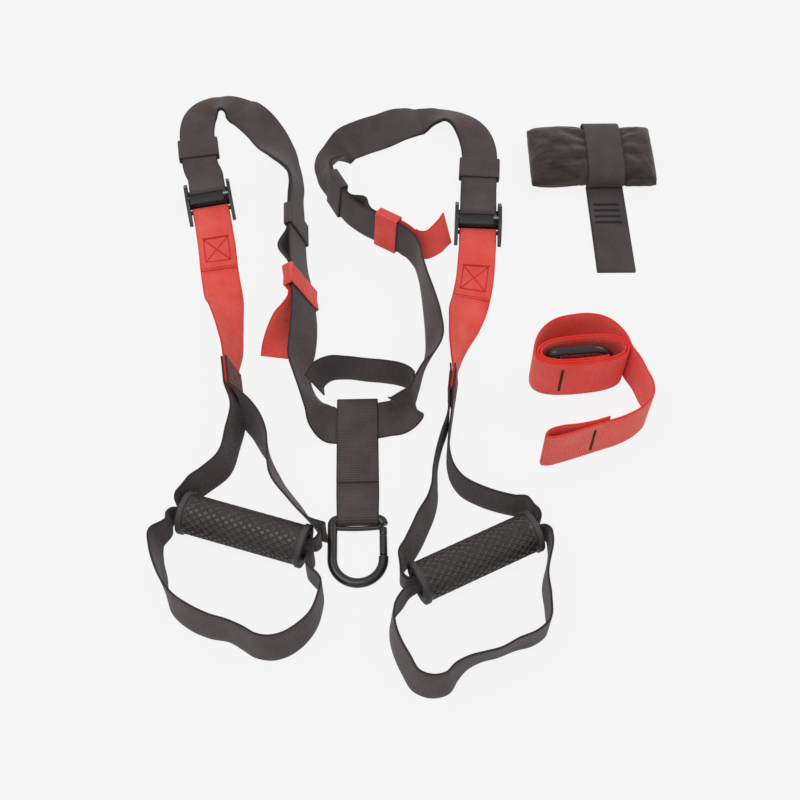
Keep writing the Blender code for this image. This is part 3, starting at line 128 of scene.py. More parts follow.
def woven_polyester(name, dark, light, half_width, rib=2.1 * MM, rib_share=0.6, sheen=0.18):
    """Flat woven polyester webbing: weft ribs across, fine warp ends along, darker selvedges, painted shade
    in the dips of the weave.

    The real threads are 0.6 to 1 mm apart; they are drawn about twice as coarse, or the render
    would not show them. Height is rib_share of the weft wave plus the rest of a plain-weave wave.
    """
    made, tree, shader = finish(name, Roughness=0.78, Sheen_Weight=sheen, Sheen_Roughness=0.45,
                                Specular_IOR_Level=0.28)
    uv = add(tree, "ShaderNodeUVMap", uv_map="cloth")
    split = add(tree, "ShaderNodeSeparateXYZ", {0: uv.outputs[0]})
    across, along = split.outputs[0], split.outputs[1]
    weft = wave(tree, along, rib)
    plain = maths(tree, "MULTIPLY", wave(tree, across, 2.4 * MM), wave(tree, along, 2 * rib))
    height = maths(tree, "MULTIPLY_ADD", weft, rib_share, maths(tree, "MULTIPLY", plain, 1 - rib_share))
    place = add(tree, "ShaderNodeTexCoord").outputs["Object"]
    cloud = noise(tree, place, 38.0, 3.0)
    fluff = noise(tree, place, 900.0, 2.0)
    # painted shade: the colour is lighter on the rib tops and darker in the dips, following the weave height;
    # cloud and fluff add random tone
    tone_and_painted_shade = maths(tree, "MULTIPLY_ADD", height, 0.16, maths(tree, "MULTIPLY_ADD", cloud, 0.75, 0.12))
    tone_and_painted_shade = maths(tree, "MULTIPLY_ADD", fluff, 0.30, maths(tree, "SUBTRACT", tone_and_painted_shade, 0.15))
    # the selvedges are darkened in colour within 1.6 mm of each edge
    edge = add(tree, "ShaderNodeMapRange", {0: maths(tree, "ABSOLUTE", across), 1: half_width - 1.6 * MM,
                                            2: half_width - 0.2 * MM, 3: 0.0, 4: 0.55})
    tone_and_painted_shade = maths(tree, "SUBTRACT", tone_and_painted_shade, edge.outputs[0])
    coloured(tree, shader, tone_and_painted_shade, dark, light)
    bumped(tree, shader, 0.55, 0.30 * MM, maths(tree, "MULTIPLY_ADD", fluff, 0.25, height))
    return made


def moulded(name, dark, light, roughness, grain_mm, bump_mm, metallic=0.0, coat=0.0):
    """Moulded or painted surface: faint cloudy colour, fine grain from noise at grain_mm."""
    made, tree, shader = finish(name, Metallic=metallic, Coat_Weight=coat, Coat_Roughness=0.2)
    place = add(tree, "ShaderNodeTexCoord").outputs["Object"]
    cloud = noise(tree, place, 60.0, 4.0)
    grain = noise(tree, place, 1 / (grain_mm * MM), 2.0)
    coloured(tree, shader, cloud, dark, light)
    tree.links.new(maths(tree, "MULTIPLY_ADD", cloud, 0.18, roughness - 0.09), shader.inputs["Roughness"])
    bumped(tree, shader, 0.4, bump_mm * MM, grain)
    return made


def brushed_pile(name):
    """Napped cover cloth of the pad: short directionless fibres, with painted sheen and shade of the nap in
    lighter and darker streaks.
    """
    made, tree, shader = finish(name, Roughness=0.95, Sheen_Weight=0.35, Sheen_Roughness=0.5,
                                Specular_IOR_Level=0.15)
    place = add(tree, "ShaderNodeTexCoord").outputs["Object"]
    warp = noise(tree, place, 30.0, 4.0, Distortion=1.2)
    fibre = noise(tree, place, 700.0, 3.0)
    stretch = add(tree, "ShaderNodeMapping", {"Vector": place, "Scale": (40.0, 170.0, 120.0),
                                              "Rotation": (0.0, 0.0, 0.35)})
    streak = noise(tree, stretch.outputs[0], 1.0, 3.0)
    # painted light and shade of the nap: the colour follows the streak and fibre noise of the bump, lighter
    # where the pile stands higher; warp adds random tone
    tone_and_painted_shade = maths(tree, "MULTIPLY_ADD", streak, 0.55, maths(tree, "MULTIPLY", warp, 0.45))
    tone_and_painted_shade = maths(tree, "MULTIPLY_ADD", fibre, 0.35, maths(tree, "SUBTRACT", tone_and_painted_shade, 0.15))
    sharp = add(tree, "ShaderNodeMapRange", {0: tone_and_painted_shade, 1: 0.32, 2: 0.78})
    coloured(tree, shader, sharp.outputs[0], "#241c1c", "#564b49")
    bumped(tree, shader, 0.7, 0.7 * MM, maths(tree, "MULTIPLY_ADD", fibre, 0.6, streak))
    return made


HALF = WEB_W / 2
BLACK_WEB = woven_polyester("woven black polyester webbing", "#302929", "#665a5b", HALF)
RIBBED_WEB = woven_polyester("black webbing with sewn cross rows", "#292323", "#6a5e5f", HALF, 2.4 * MM, 0.9)
DOOR_WEB = woven_polyester("woven black polyester door webbing", "#2e2929", "#5f5657", DOOR_WEB_W / 2)
RED_WEB = woven_polyester("woven red polyester webbing", "#df1f16", "#ff7a6d", HALF, sheen=0.12)
# painted light: the wide red is made lighter than the narrow red to make up for the shade it takes standing
# on edge
LIGHTENED_WIDE_RED_WEB = woven_polyester("woven wide red polyester webbing", "#ef3328", "#ff8b7f", WIDE_WEB_W / 2,
                               2.3 * MM, 0.75, sheen=0.12)
NYLON = moulded("moulded black nylon", "#232122", "#343133", 0.42, 0.7, 0.05)
ALLOY = moulded("black powder coated alloy", "#221d1d", "#332b2b", 0.30, 0.9, 0.03, 0.25, 0.35)
KNURLED = moulded("knurled hard black plastic", "#2a2323", "#443b3b", 0.33, 0.8, 0.05)
RUBBER = moulded("moulded black rubber", "#383435", "#514c4d", 0.62, 0.6, 0.05)
STEEL = moulded("drawn spring steel", "#8d8d90", "#b9b9bc", 0.32, 0.5, 0.01, 1.0)
PILE = brushed_pile("brushed pile cover cloth")
RED_THREAD = moulded("red polyester thread", "#b8140f", "#d8261e", 0.65, 0.4, 0.05)
DARK_THREAD = moulded("black polyester thread", "#191616", "#2b2727", 0.7, 0.4, 0.05)
# (finish, body, slot) of what many pieces share
BLACK_STRAP = BLACK_WEB, "root", "black_webbing"
RED_STRAP = RED_WEB, "root", "red_webbing"
DOOR_STRAP = DOOR_WEB, "door_anchor", "black_webbing"
SEWING = RED_THREAD, "root", "red_webbing"


# meshes
def linked(name, data):
    made = bpy.data.objects.new(name, data)
    bpy.context.scene.collection.objects.link(made)
    return made


def dressed(made, finish_of, body, stands_for, sharp_deg):
    """Finish, shading and body of a piece, and the nodes that it stands for."""
    made.data.materials.append(finish_of)
    made.data.shade_smooth()
    made.data.set_sharp_from_angle(angle=math.radians(sharp_deg))
    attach(made, body)
    if stands_for:
        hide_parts(*stands_for)


def mesh_piece(name, verts, faces, finish_of, body, stands_for=(), uv=None):
    """One piece from whole arrays; uv holds (across, along) in metres for each vertex."""
    mesh = bpy.data.meshes.new(name)
    points = np.asarray(verts, float).reshape(-1, 3) + SHIFT
    mesh.from_pydata(points.tolist(), [], [tuple(f) for f in faces])
    mesh.update()
    fix = bmesh.new()
    fix.from_mesh(mesh)
    if fix.calc_volume(signed=True) < 0:
        bmesh.ops.reverse_faces(fix, faces=fix.faces)
    fix.to_mesh(mesh)
    fix.free()
    if uv is not None:
        layer = mesh.uv_layers.new(name="cloth")
        index = np.empty(len(mesh.loops), int)
        mesh.loops.foreach_get("vertex_index", index)
        layer.data.foreach_set("uv", np.asarray(uv, float)[index].ravel())
    made = linked(name, mesh)
    dressed(made, finish_of, body, stands_for, 50)
    return made


def lattice(rows, around, closed_rows=False):
    """Quads of a grid of rings, closed round each ring, with end faces unless the rows close."""
    i = np.arange(rows if closed_rows else rows - 1)[:, None]
    k = np.arange(around)[None, :]
    n, m = (i + 1) % rows, (k + 1) % around
    quads = np.stack([i * around + k, i * around + m, n * around + m, n * around + k], 2).reshape(-1, 4)
    faces = quads.tolist()
    if not closed_rows:
        faces += [list(range(around))[::-1], list(range((rows - 1) * around, rows * around))]
    return faces


def web_section(width, thick):
    """Section of webbing: two flats joined by half-round selvedges; returns (across, through)."""
    r = thick / 2
    a = width / 2 - r
    top = np.linspace(-a, a, 7)
    turn = np.linspace(math.pi / 2, -math.pi / 2, 5)[1:-1]
    across = np.concatenate([top, a + r * np.cos(turn), -top, -a - r * np.cos(turn)])
    through = np.concatenate([0 * top + r, r * np.sin(turn), 0 * top - r, -r * np.sin(turn)])
    return across, through


def band(name, run, finish_of, body, slot, node, held, lies_on, width=WEB_W, thick=WEB_T, closed=False):
    """Webbing along a run: point = centre + W across gather + N through / gather."""
    across, through = web_section(width, thick)
    g = run.g[:, None, None]
    verts = (run.c[:, None] + run.w[:, None] * across[None, :, None] * g
             + run.n[:, None] * through[None, :, None] / g)
    along = walked(run.c)
    uv = np.stack(np.broadcast_arrays(across[None, :], along[:, None]), 2).reshape(-1, 2)
    faces = lattice(len(run.c), len(across), closed)
    made = mesh_piece(name, verts, faces, finish_of, body, (node,), uv)


def unit(v):
    v = np.asarray(v, float)
    return v / np.linalg.norm(v, axis=-1, keepdims=True)


def tube(name, points, radius, sides, finish_of, body, stands_for=(), flat=1.0, shrink=None):
    """Round rod along points: ring = point + side r cos + lift r sin, flattened by flat in its lift."""
    points = np.asarray(points, float)
    tangent = unit(np.gradient(points, axis=0))
    side = np.cross(tangent, UP)
    side[np.linalg.norm(side, axis=1) < 0.2] = (1.0, 0.0, 0.0)
    side = unit(side)
    lift = np.cross(side, tangent)
    turn = np.arange(sides) * 2 * math.pi / sides
    r = radius * (np.ones(len(points)) if shrink is None else np.asarray(shrink))
    r = r[:, None, None]
    verts = points[:, None] + r * (side[:, None] * np.cos(turn)[None, :, None]
                                   + flat * lift[:, None] * np.sin(turn)[None, :, None])
    mesh_piece(name, verts, lattice(len(points), sides), finish_of, body, stands_for)


# routes, as the construction lays them
def walked(points):
    """Distance walked along points up to each of them."""
    return np.append(0.0, np.cumsum(np.linalg.norm(np.diff(points, axis=0), axis=1)))


def spline(knots):
    """Cubic Hermite curve through rows of knots with central slopes, at an even spacing of DENSE."""
    knots = np.asarray(knots, float)
    t = walked(knots[:, :3])
    slope = np.gradient(knots, t, axis=0)
    s = np.append(np.arange(0.0, t[-1], DENSE), t[-1])
    i = np.clip(np.searchsorted(t, s, side="right") - 1, 0, len(t) - 2)
    h = (t[i + 1] - t[i])[:, None]
    u = ((s - t[i]) / (t[i + 1] - t[i]))[:, None]
    return ((2 * u**3 - 3 * u**2 + 1) * knots[i] + (u**3 - 2 * u**2 + u) * h * slope[i]
            + (3 * u**2 - 2 * u**3) * knots[i + 1] + (u**3 - u**2) * h * slope[i + 1])


COARSE_STEP, COARSE_TURN = 0.022, math.radians(15.0)
FINE = dict(step=0.0034, turn=math.radians(5.0))


class Run:
    """Webbing frames along a route: centre, width direction W, face normal N = T x W, gather."""

    def __init__(self, centre, across, gather=None, tangent=None):
        self.c = np.asarray(centre, float)
        self.t = unit(np.gradient(self.c, axis=0)) if tangent is None else np.asarray(tangent, float)
        w = np.broadcast_to(np.asarray(across, float), self.c.shape)
        self.w = unit(w - self.t * np.sum(w * self.t, axis=1)[:, None])
        self.n = np.cross(self.t, self.w)
        self.g = np.ones(len(self.c)) if gather is None else np.asarray(gather, float)

    def part(self, index):
        made = Run.__new__(Run)
        made.c, made.w, made.t = self.c[index], self.w[index], self.t[index]
        made.n, made.g = self.n[index], self.g[index]
        return made

    def shifted(self, offset):
        made = self.part(np.arange(len(self.c)))
        made.c = made.c + made.n * offset
        return made

    def reversed(self):
        made = self.part(np.arange(len(self.c))[::-1])
        made.t, made.n = -made.t, -made.n
        return made

    def length(self):
        return float(walked(self.c)[-1])

    def picks(self, step=COARSE_STEP, turn=COARSE_TURN):
        """Ring indices: close on bends, far on straights."""
        bend = np.arccos(np.clip(np.sum(self.t[1:] * self.t[:-1], axis=1), -1, 1))
        twist = np.arccos(np.clip(np.sum(self.w[1:] * self.w[:-1], axis=1), -1, 1))
        walk = np.linalg.norm(np.diff(self.c, axis=0), axis=1)
        load = np.cumsum(walk / step + (bend + twist) / turn)
        marks = np.linspace(0, load[-1], max(2, int(math.ceil(load[-1])) + 1))
        return np.unique(np.clip(np.searchsorted(np.append(0.0, load), marks), 0, len(self.c) - 1))

    def fine(self):
        return self.part(self.picks(**FINE))

    def near(self, x, y):
        return int(np.argmin(np.hypot(self.c[:, 0] - x * SPREAD_LEN, self.c[:, 1] - y * SPREAD_LEN)))


def joined(runs):
    made = Run.__new__(Run)
    for name in ("c", "w", "t", "n", "g"):
        setattr(made, name, np.concatenate([getattr(r, name) for r in runs]))
    return made


def plan_knots(shares):
    """Knots (x, y, z, W) of stations (x, y, lean, lift): the low edge on the floor, W leant by lean."""
    table = np.array(shares, float)
    xy = table[:, :2] * SPREAD_LEN
    heading = unit(np.gradient(xy, walked(xy), axis=0))
    lean = np.radians(table[:, 2])
    side = np.stack([-heading[:, 1], heading[:, 0], 0 * lean], 1)
    w = side * np.cos(lean)[:, None] + UP * np.sin(lean)[:, None]
    z = WEB_W / 2 * np.abs(np.sin(lean)) + WEB_T / 2 * np.abs(np.cos(lean))
    if table.shape[1] > 3:
        z += PITCH * table[:, 3]
    return np.column_stack([xy, z, w])


def run_through(knots, width=WEB_W):
    rows = spline(knots)
    made = Run(rows[:, :3], rows[:, 3:6], rows[:, 6] if rows.shape[1] > 6 else None)
    low = made.c[:, 2] - np.abs(made.w[:, 2]) * width * made.g / 2 - np.abs(made.n[:, 2]) * WEB_T / 2
    made.c[:, 2] += np.maximum(0.0, -low)
    return made


def placed(x, y, z, turn):
    """Layout place (shares) and turn about Z in degrees as a matrix."""
    spot = Matrix.Translation((x * SPREAD_LEN, y * SPREAD_LEN, z))
    return spot @ Matrix.Rotation(math.radians(turn), 4, 'Z')


def at(matrix, points):
    """Points through a matrix, as an array."""
    m = np.array(matrix)
    return np.asarray(points, float) @ m[:3, :3].T + m[:3, 3]


def aimed(matrix, x, y):
    """The direction (x, y, 0) turned by a matrix."""
    return np.array(matrix.to_3x3() @ Vector((x, y, 0)))


def upright(matrix, x, yz):
    """Points (y, z) of a fold, set into the plane x of a matrix."""
    return at(matrix, np.stack([np.full(len(yz), x), yz[:, 0], yz[:, 1]], 1))


def ring_slope(points):
    """Direction along a closed ring at each of its points, not of unit length."""
    return np.roll(points, -1, 0) - np.roll(points, 1, 0)


# Sizes of what is drawn finer than the construction
KNURL_STARTS, KNURL_PITCH, KNURL_LINE, KNURL_DEPTH, KNURL_FADE = 20, 8.0 * MM, 0.32, 0.8 * MM, 2 * MM
KNURL_ROWS, KNURL_AROUND, TURNED_SIDES = 264, 176, 96
LAP_LEN = 30 * MM
BOX_FROM_END, BOX_LEN, BOX_HALF, BOX_GAUGE = 41 * MM, 31 * MM, 12.5 * MM, 1.3 * MM
ROW_FROM_END, ROW_HALF, ROW_PITCH = 1.6 * MM, 17.5 * MM, 2.2 * MM
LAP_BOX_START, LAP_BOX_LEN, LAP_BOX_HALF = 4 * MM, 20 * MM, 12.5 * MM
MARK_LEN, MARK_HALF, MARK_GAUGE = 8 * MM, 4.8 * MM, 0.7 * MM
BAR_COUNT, BAR_FIRST, BAR_APART, BAR_ASIDE = 4, 60.5 * MM, 8.2 * MM, 1 * MM
BAR_HALF, BAR_GAUGE = 13.5 * MM, 1.7 * MM
TALL_BAR_HALF, TALL_BAR_GAUGE, BAR_PITCH = 17 * MM, 1.3 * MM, 1.2 * MM
THREAD_LIFT, THREAD_SUNK = 0.35 * MM, 0.25 * MM
TALL_BAR_SHARES = ((1.42, 0.0), (1.74, -0.56))
TUCK, TINY = 2.4 * MM, 1e-9
PAD_VOXEL, PAD_MOVE, PAD_FRAMES, PAD_PRESSURE, PAD_SHRINK = 3.2 * MM, 5 * MM, 20, 4.0, -0.07
PAD_U, PAD_V, EAR = 96, 60, 3 * MM
FAN_FOLD, RIPPLE, RIDGE, DENT = 1.6 * MM, 0.6 * MM, 0.9 * MM, 0.8 * MM
RIPPLE_WAVES = (160.0, 95.0, 120.0)
HOOK_SWELL, HOOK_FLAT, HOOK_TAPER, EYE_SWELL = 1.22, 0.82, 0.86, 1.3
GATE_FOOT, BOSS_R, BOSS_HALF = 1.9 * MM, 1.7 * MM, 3.75 * MM
GROOVE_FROM_HINGE, GROOVE_LEN, GROOVE_SHARE = 5.5 * MM, 0.7 * MM, 0.10

# Route tables, in shares of SPREAD_LEN: (x, y, lean, lift) unless a line says otherwise
BUCKLE_PLACE_SHARES = {"left": (-2.005, 2.46, 12.4), "right": (0.809, 2.155, -3.0)}
MAIN_SHARES = {
    "left": (
        (-0.403, -0.283, 0, 1), (-0.50, -0.302, 0, 1), (-0.58, -0.305, 0, 1),
        (-0.62, -0.300, 0, 1), (-0.71, -0.252, 24, 0.4),
        (-0.77, -0.17, 48, 0), (-0.84, -0.05, 62, 0), (-0.90, 0.10, 66, 0), (-0.945, 0.30, 60, 0.3),
        (-0.93, 0.50, 53, 0.8), (-0.92, 0.75, 53, 1.8), (-0.935, 1.00, 57, 3.0), (-0.965, 1.25, 61, 2.9),
        (-1.005, 1.50, 66, 1.9), (-1.03, 1.75, 68, 1.6), (-1.045, 2.00, 70, 1.8), (-1.06, 2.25, 72, 1.7),
        (-1.072, 2.48, 75, 1.2), (-1.095, 2.645, 68, 0.8), (-1.15, 2.79, 56, 0.8), (-1.235, 2.98, 39, 0.8),
        (-1.336, 3.23, 15, 0.9), (-1.478, 3.475, -11, 0.9), (-1.632, 3.67, -16, 0.9), (-1.78, 3.83, -3, 0.9),
        (-1.90, 3.895, 14, 0.9), (-2.00, 3.90, 24, 0.9), (-2.10, 3.87, 18, 1.2), (-2.18, 3.80, 10, 1.6),
        (-2.225, 3.70, 5, 2.0), (-2.24, 3.58, 2, 2.3), (-2.235, 3.46, 0, 2.4), (-2.215, 3.33, 0, 2.4),
        (-2.18, 3.12, 0, 2.3), (-2.145, 2.97, 0, 1.4)),
    "right": (
        (-0.397, -0.282, 0, 1), (-0.30, -0.264, 0, 1), (-0.155, -0.234, 0, 1),
        (-0.12, -0.226, 0, 1), (-0.035, -0.21, 4, 0.6),
        (0.02, -0.195, 26, 0.2), (0.07, -0.155, 60, 0), (0.11, -0.09, 82, 0), (0.15, 0.03, 88, 0),
        (0.205, 0.18, 94, 0), (0.275, 0.34, 108, 0), (0.325, 0.52, 115, 0), (0.32, 0.75, 112, 0),
        (0.285, 1.00, 105, 0), (0.24, 1.25, 97, 0), (0.205, 1.44, 94, 0.3), (0.165, 1.59, 96, 1.2),
        (0.09, 1.70, 97, 2.3), (-0.02, 1.785, 97, 2.9), (-0.21, 1.905, 96, 2.9), (-0.40, 2.04, 96, 2.5),
        (-0.56, 2.21, 97, 2.3), (-0.65, 2.385, 98, 2.4), (-0.735, 2.55, 100, 2.0), (-0.78, 2.715, 110, 1.3),
        (-0.76, 2.87, 133, 1), (-0.74, 3.02, 158, 1), (-0.685, 3.16, 182, 1), (-0.59, 3.235, 206, 1),
        (-0.44, 3.29, 220, 0.9), (-0.20, 3.42, 215, 0.8), (0.03, 3.59, 200, 0.8),
        (0.235, 3.69, 178, 0.8), (0.40, 3.70, 159, 0.8),
        (0.53, 3.69, 151, 0.9), (0.64, 3.645, 154, 1.0), (0.73, 3.57, 161, 1.3), (0.80, 3.46, 169, 1.7),
        (0.845, 3.31, 176, 2.2), (0.862, 3.16, 180, 2.4), (0.861, 3.02, 180, 2.4), (0.85, 2.86, 180, 2.4),
        (0.838, 2.70, 180, 1.7)),
}
COLLAR_SHARES = {"left": (-0.955, 1.16), "right": (-0.14, 1.86)}
KEEPER_SHARES = {"left": ((-2.197, 3.22), (-1.045, 1.98)), "right": ((0.855, 2.92), (-0.655, 2.40))}
BULGE_SHARES = {"left": (1.84, 1.35, 0.095), "right": (2.20, 1.95, 0.09)}
BULGE_WEST_SHARE = {"left": -0.9, "right": 0.2}
COLLAR_SKEW_SHARE = {"left": 0.42, "right": 0.0}
RAMP_SHARES = ((1.48, 0.0), (1.11, 0.13), (0.85, 0.36), (0.50, 0.80))
OVER_BAR_SHARE = 0.20
UNDER_SHARES = ((0.0, 1.0), (0.30, 1.0), (0.60, 1.0), (0.88, 1.0), (1.18, 0.3), (1.48, 0.0))
TACK_PLACE_SHARES = {"left": (-2.12, 3.85), "right": (0.70, 3.58)}
SIDE_SIGN = {"left": -1.0, "right": 1.0}
TAB_SHARES = {
    "left": ((-1.085, 0.79, 0.30, -0.52, 0.20, 0.72), (-1.125, 0.61, 0.16, -0.58, 0.55, 0.40),
             (-1.16, 0.45, 0.02, -0.59, 0.81, 0.04)),
    "right": ((0.10, 1.765, 0.49, 0.14, 0.20, 0.95), (0.25, 1.735, 0.48, -0.02, 0.11, 0.98),
              (0.39, 1.845, 0.45, -0.02, 0.35, 0.90), (0.48, 1.975, 0.42, -0.03, 0.50, 0.83)),
}
EQUALIZER_SHARES = ((-0.79, 0.05, 66), (-0.765, 0.14, 76), (-0.66, 0.225, 86), (-0.50, 0.235, 90),
                    (-0.31, 0.21, 90), (-0.13, 0.19, 90), (-0.01, 0.165, 90), (0.06, 0.135, 90),
                    (0.105, 0.10, 90), (0.130, 0.063, 90))
ANCHOR_SHARES = (-0.367, -1.276, 1.35)
ANCHOR_LEN = 0.1255
SEAM_SHARE = 0.30
LAP_SHARE = 0.62
HOOK_GATHER = 0.955
LOWER_SHARES = {
    "left": ((-1.875, 1.85, 180, 0), (-1.815, 1.50, 180, 0), (-1.76, 1.25, 174, 0), (-1.695, 0.98, 145, 0),
             (-1.64, 0.72, 128, 0), (-1.60, 0.50, 118, 0.2), (-1.585, 0.30, 106, 0.4),
             (-1.555, 0.12, 105, 0.4), (-1.53, -0.03, 105, 0.4)),
    "right": ((0.777, 1.68, 180, 0), (0.75, 1.42, 180, 0), (0.703, 1.17, 176, 0), (0.63, 0.88, 150, 0),
              (0.57, 0.66, 126, 0), (0.53, 0.48, 112, 0), (0.505, 0.28, 100, 0.2),
              (0.495, 0.08, 93, 0.2), (0.47, -0.10, 92, 0.2)),
}
FLAP_SHARES = {"left": 0.92, "right": 0.98}
GRIP_PLACE_SHARES = {"left": (-0.7895, -1.5987, -17.0), "right": (0.1375, -1.9372, 26.2)}
TIGHT_END_SHARES = ((0.38, 0.90, 0.84), (0.50, 0.54, 0.74), (0.38, 0.24, 0.62))
WIDE_END_SHARES = ((0.88, 0.36, 0.95), (0.55, 0.18, 0.75))
HANDLE_SHARES = {
    "left": (((-1.475, -0.27, 104), (-1.50, -0.52, 103), (-1.56, -0.80, 100), (-1.70, -0.95, 97),
              (-1.825, -1.06, 94)),
             ((-0.635, -1.47, 88), (-0.75, -1.38, 78), (-0.92, -1.165, 71), (-1.075, -0.95, 72),
              (-1.145, -0.75, 84), (-1.21, -0.58, 100), (-1.29, -0.41, 106), (-1.41, -0.235, 106))),
    "right": (((0.43, -0.36, 90), (0.37, -0.56, 90), (0.325, -0.76, 92), (0.308, -0.93, 96),
               (0.30, -1.08, 98), (0.265, -1.22, 100), (0.20, -1.36, 104), (0.14, -1.50, 104),
               (0.075, -1.63, 102), (0.01, -1.74, 97)),
              ((1.10, -1.235, 90), (0.97, -1.205, 90), (0.84, -1.17, 90), (0.70, -1.115, 90),
               (0.535, -1.01, 90), (0.465, -0.90, 90), (0.43, -0.75, 90), (0.43, -0.60, 90),
               (0.455, -0.40, 90))),
}
FOOT_SHARES = {
    "left": ((-2.065, -1.52, 99), (-2.05, -1.66, 99), (-2.00, -1.81, 98), (-1.955, -1.94, 92),
             (-1.87, -2.10, 82), (-1.72, -2.22, 78), (-1.55, -2.30, 79), (-1.38, -2.345, 82),
             (-1.27, -2.40, 80), (-1.16, -2.465, 79), (-1.03, -2.485, 79), (-0.92, -2.455, 80),
             (-0.805, -2.375, 82), (-0.705, -2.25, 86), (-0.66, -2.11, 88), (-0.645, -1.98, 90)),
    "right": ((-0.055, -2.20, 86), (-0.06, -2.33, 84), (-0.02, -2.48, 82), (0.05, -2.625, 80),
              (0.13, -2.755, 80), (0.255, -2.80, 80), (0.37, -2.775, 81), (0.45, -2.68, 86),
              (0.54, -2.61, 93), (0.66, -2.56, 98), (0.79, -2.525, 98), (0.94, -2.455, 95),
              (1.09, -2.40, 92), (1.195, -2.31, 90), (1.215, -2.12, 91), (1.205, -1.92, 91)),
}
PAD_SHARES = (2.058, 3.03, 0.5)
WRAP_SHARE = 0.17
SQUEEZE = 0.72
LOOP_REACH = 0.149
COIL_SHARES = (1.665, 0.235, 6.0)
COIL_START_DEG = -60.0
TAIL_SHARES = ((2.185, 0.13), (2.225, 0.00), (2.262, -0.13), (2.245, -0.265), (2.14, -0.385), (1.99, -0.475),
               (1.80, -0.545), (1.62, -0.61), (1.45, -0.668), (1.31, -0.70))
TAIL_FOLD = 0.0035
FOLD_BACK_SHARES = ((1.40, -0.592), (1.55, -0.570), (1.70, -0.538), (1.84, -0.492))
WRAP_SLACK = 1.15


def grip_matrix(side):
    x, y, turn = GRIP_PLACE_SHARES[side]
    return placed(x, y, GRIP_HEIGHT, turn) @ Matrix.Translation((SIDE_SIGN[side] * GRIP_LEN / 2, 0, 0))


def frame_shift():
    """From the layout to the frame: the left grip core's middle in the one less that in the other."""
    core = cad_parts["grip_core_left"]
    corners = np.array([core.matrix_world @ Vector(c) for c in core.bound_box])
    return (corners.min(0) + corners.max(0)) / 2 - np.array(grip_matrix("left").to_translation())


SHIFT = frame_shift()


def buckle_matrix(side):
    x, y, turn = BUCKLE_PLACE_SHARES[side]
    return placed(x, y, 0.0, turn)


def buckle_point(side, along, height):
    return np.array(buckle_matrix(side) @ Vector((0, along, height)))


def buckle_knots(side):
    """The main strap's knots as it climbs onto the return bar, in shares of half the buckle."""
    high = BAR_HEIGHT + WRAP_R
    flat = WEB_T / 2 + PITCH
    half = PLATE_LEN / 2
    steps = [(out, flat + (high - flat) * share) for out, share in RAMP_SHARES]
    steps += [(OVER_BAR_SHARE, high - GAP / 2), (0.0, high)]
    across = aimed(buckle_matrix(side), -SIDE_SIGN[side], 0)
    return np.array([[*buckle_point(side, a * half, z), *across] for a, z in steps])


def half_turn(side, along, height, radius, across, first, last, count):
    """Webbing round a bar across the buckle: centre = bar + radius (cos a, sin a), a from first to last."""
    a = np.linspace(first, last, count)
    heading = aimed(buckle_matrix(side), 0, 1)
    cos, sin = np.cos(a)[:, None], np.sin(a)[:, None]
    centre = buckle_point(side, along, height) + radius * (heading * cos + UP * sin)
    return Run(centre, across, tangent=math.copysign(1.0, last - first) * (UP * cos - heading * sin))


def main_run(side):
    """Main layer, raised where the tail or a sleeve under it would reach below the floor."""
    run = run_through(np.vstack([plan_knots(MAIN_SHARES[side]), buckle_knots(side)]))
    away = SIDE_SIGN[side]
    walk = np.arange(len(run.c)) * DENSE
    rise_w, rise_n = np.abs(run.w[:, 2]), np.abs(run.n[:, 2])
    z = run.c[:, 2]
    doubled = walk > walk[run.near(*COLLAR_SHARES[side])]
    tail_low = z + away * PITCH * run.n[:, 2] - rise_w * WEB_W / 2 - rise_n * WEB_T / 2
    lack = np.where(doubled, np.maximum(0.0, -tail_low), 0.0)
    wide = WEB_W / 2 + KEEPER_PLAY + KEEPER_WALL
    sleeves = [(place, 2, KEEPER_LEN) for place in KEEPER_SHARES[side]]
    sleeves.append((COLLAR_SHARES[side], 3, COLLAR_LEN))
    for place, layers, length in sleeves:  # each lifts the strap until it clears the floor itself
        deep = layers * PITCH / 2 + KEEPER_PLAY + KEEPER_WALL
        low = z + away * run.n[:, 2] * PITCH * (layers - 1) / 2 - rise_w * wide - rise_n * deep
        apart = np.abs(walk - walk[run.near(*place)]) / length
        lack = np.maximum(lack, np.maximum(0.0, -low) * np.clip(2.2 - 2.0 * apart, 0, 1))
    before_ramp = walk < walk[tail_start(side, run)]
    run.c[:, 2] += np.where(before_ramp, lack, 0.0)
    return run


def tail_start(side, run):
    far = buckle_knots(side)[0, :2] / SPREAD_LEN
    return run.near(far[0], far[1])


def tail_run(side, run):
    """The tail layer under the main one, its loose bulge standing off sideways by a sine-squared hump."""
    first, last, swell = BULGE_SHARES[side]
    x, y = run.c[:, 0] / SPREAD_LEN, run.c[:, 1] / SPREAD_LEN
    u = np.clip((y - last) / (first - last), 0, 1)
    hump = np.where((x < BULGE_WEST_SHARE[side]) & (u > 0) & (u < 1), np.sin(math.pi * u) ** 2, 0.0)
    made = run.shifted(SIDE_SIGN[side] * PITCH)
    away = run.n * np.array([1.0, 1.0, 0.0]) * SIDE_SIGN[side]
    away = away / np.maximum(np.linalg.norm(away, axis=1), GAP)[:, None]
    made.c = made.c + away * (swell * SPREAD_LEN * hump)[:, None]
    return made


def straight(run, at_index, length):
    """A stretch of a run drawn straight along its chord, square to its middle width."""
    walk = walked(run.c)
    ends = [int(np.argmin(np.abs(walk - walk[at_index] - s * length))) for s in (-0.5, 0.5)]
    a, b = run.c[ends[0]], run.c[ends[1]]
    chord = unit(b - a)
    across = run.w[(ends[0] + ends[1]) // 2]
    across = unit(across - chord * np.dot(across, chord))
    return a, b, chord, across, np.cross(chord, across)


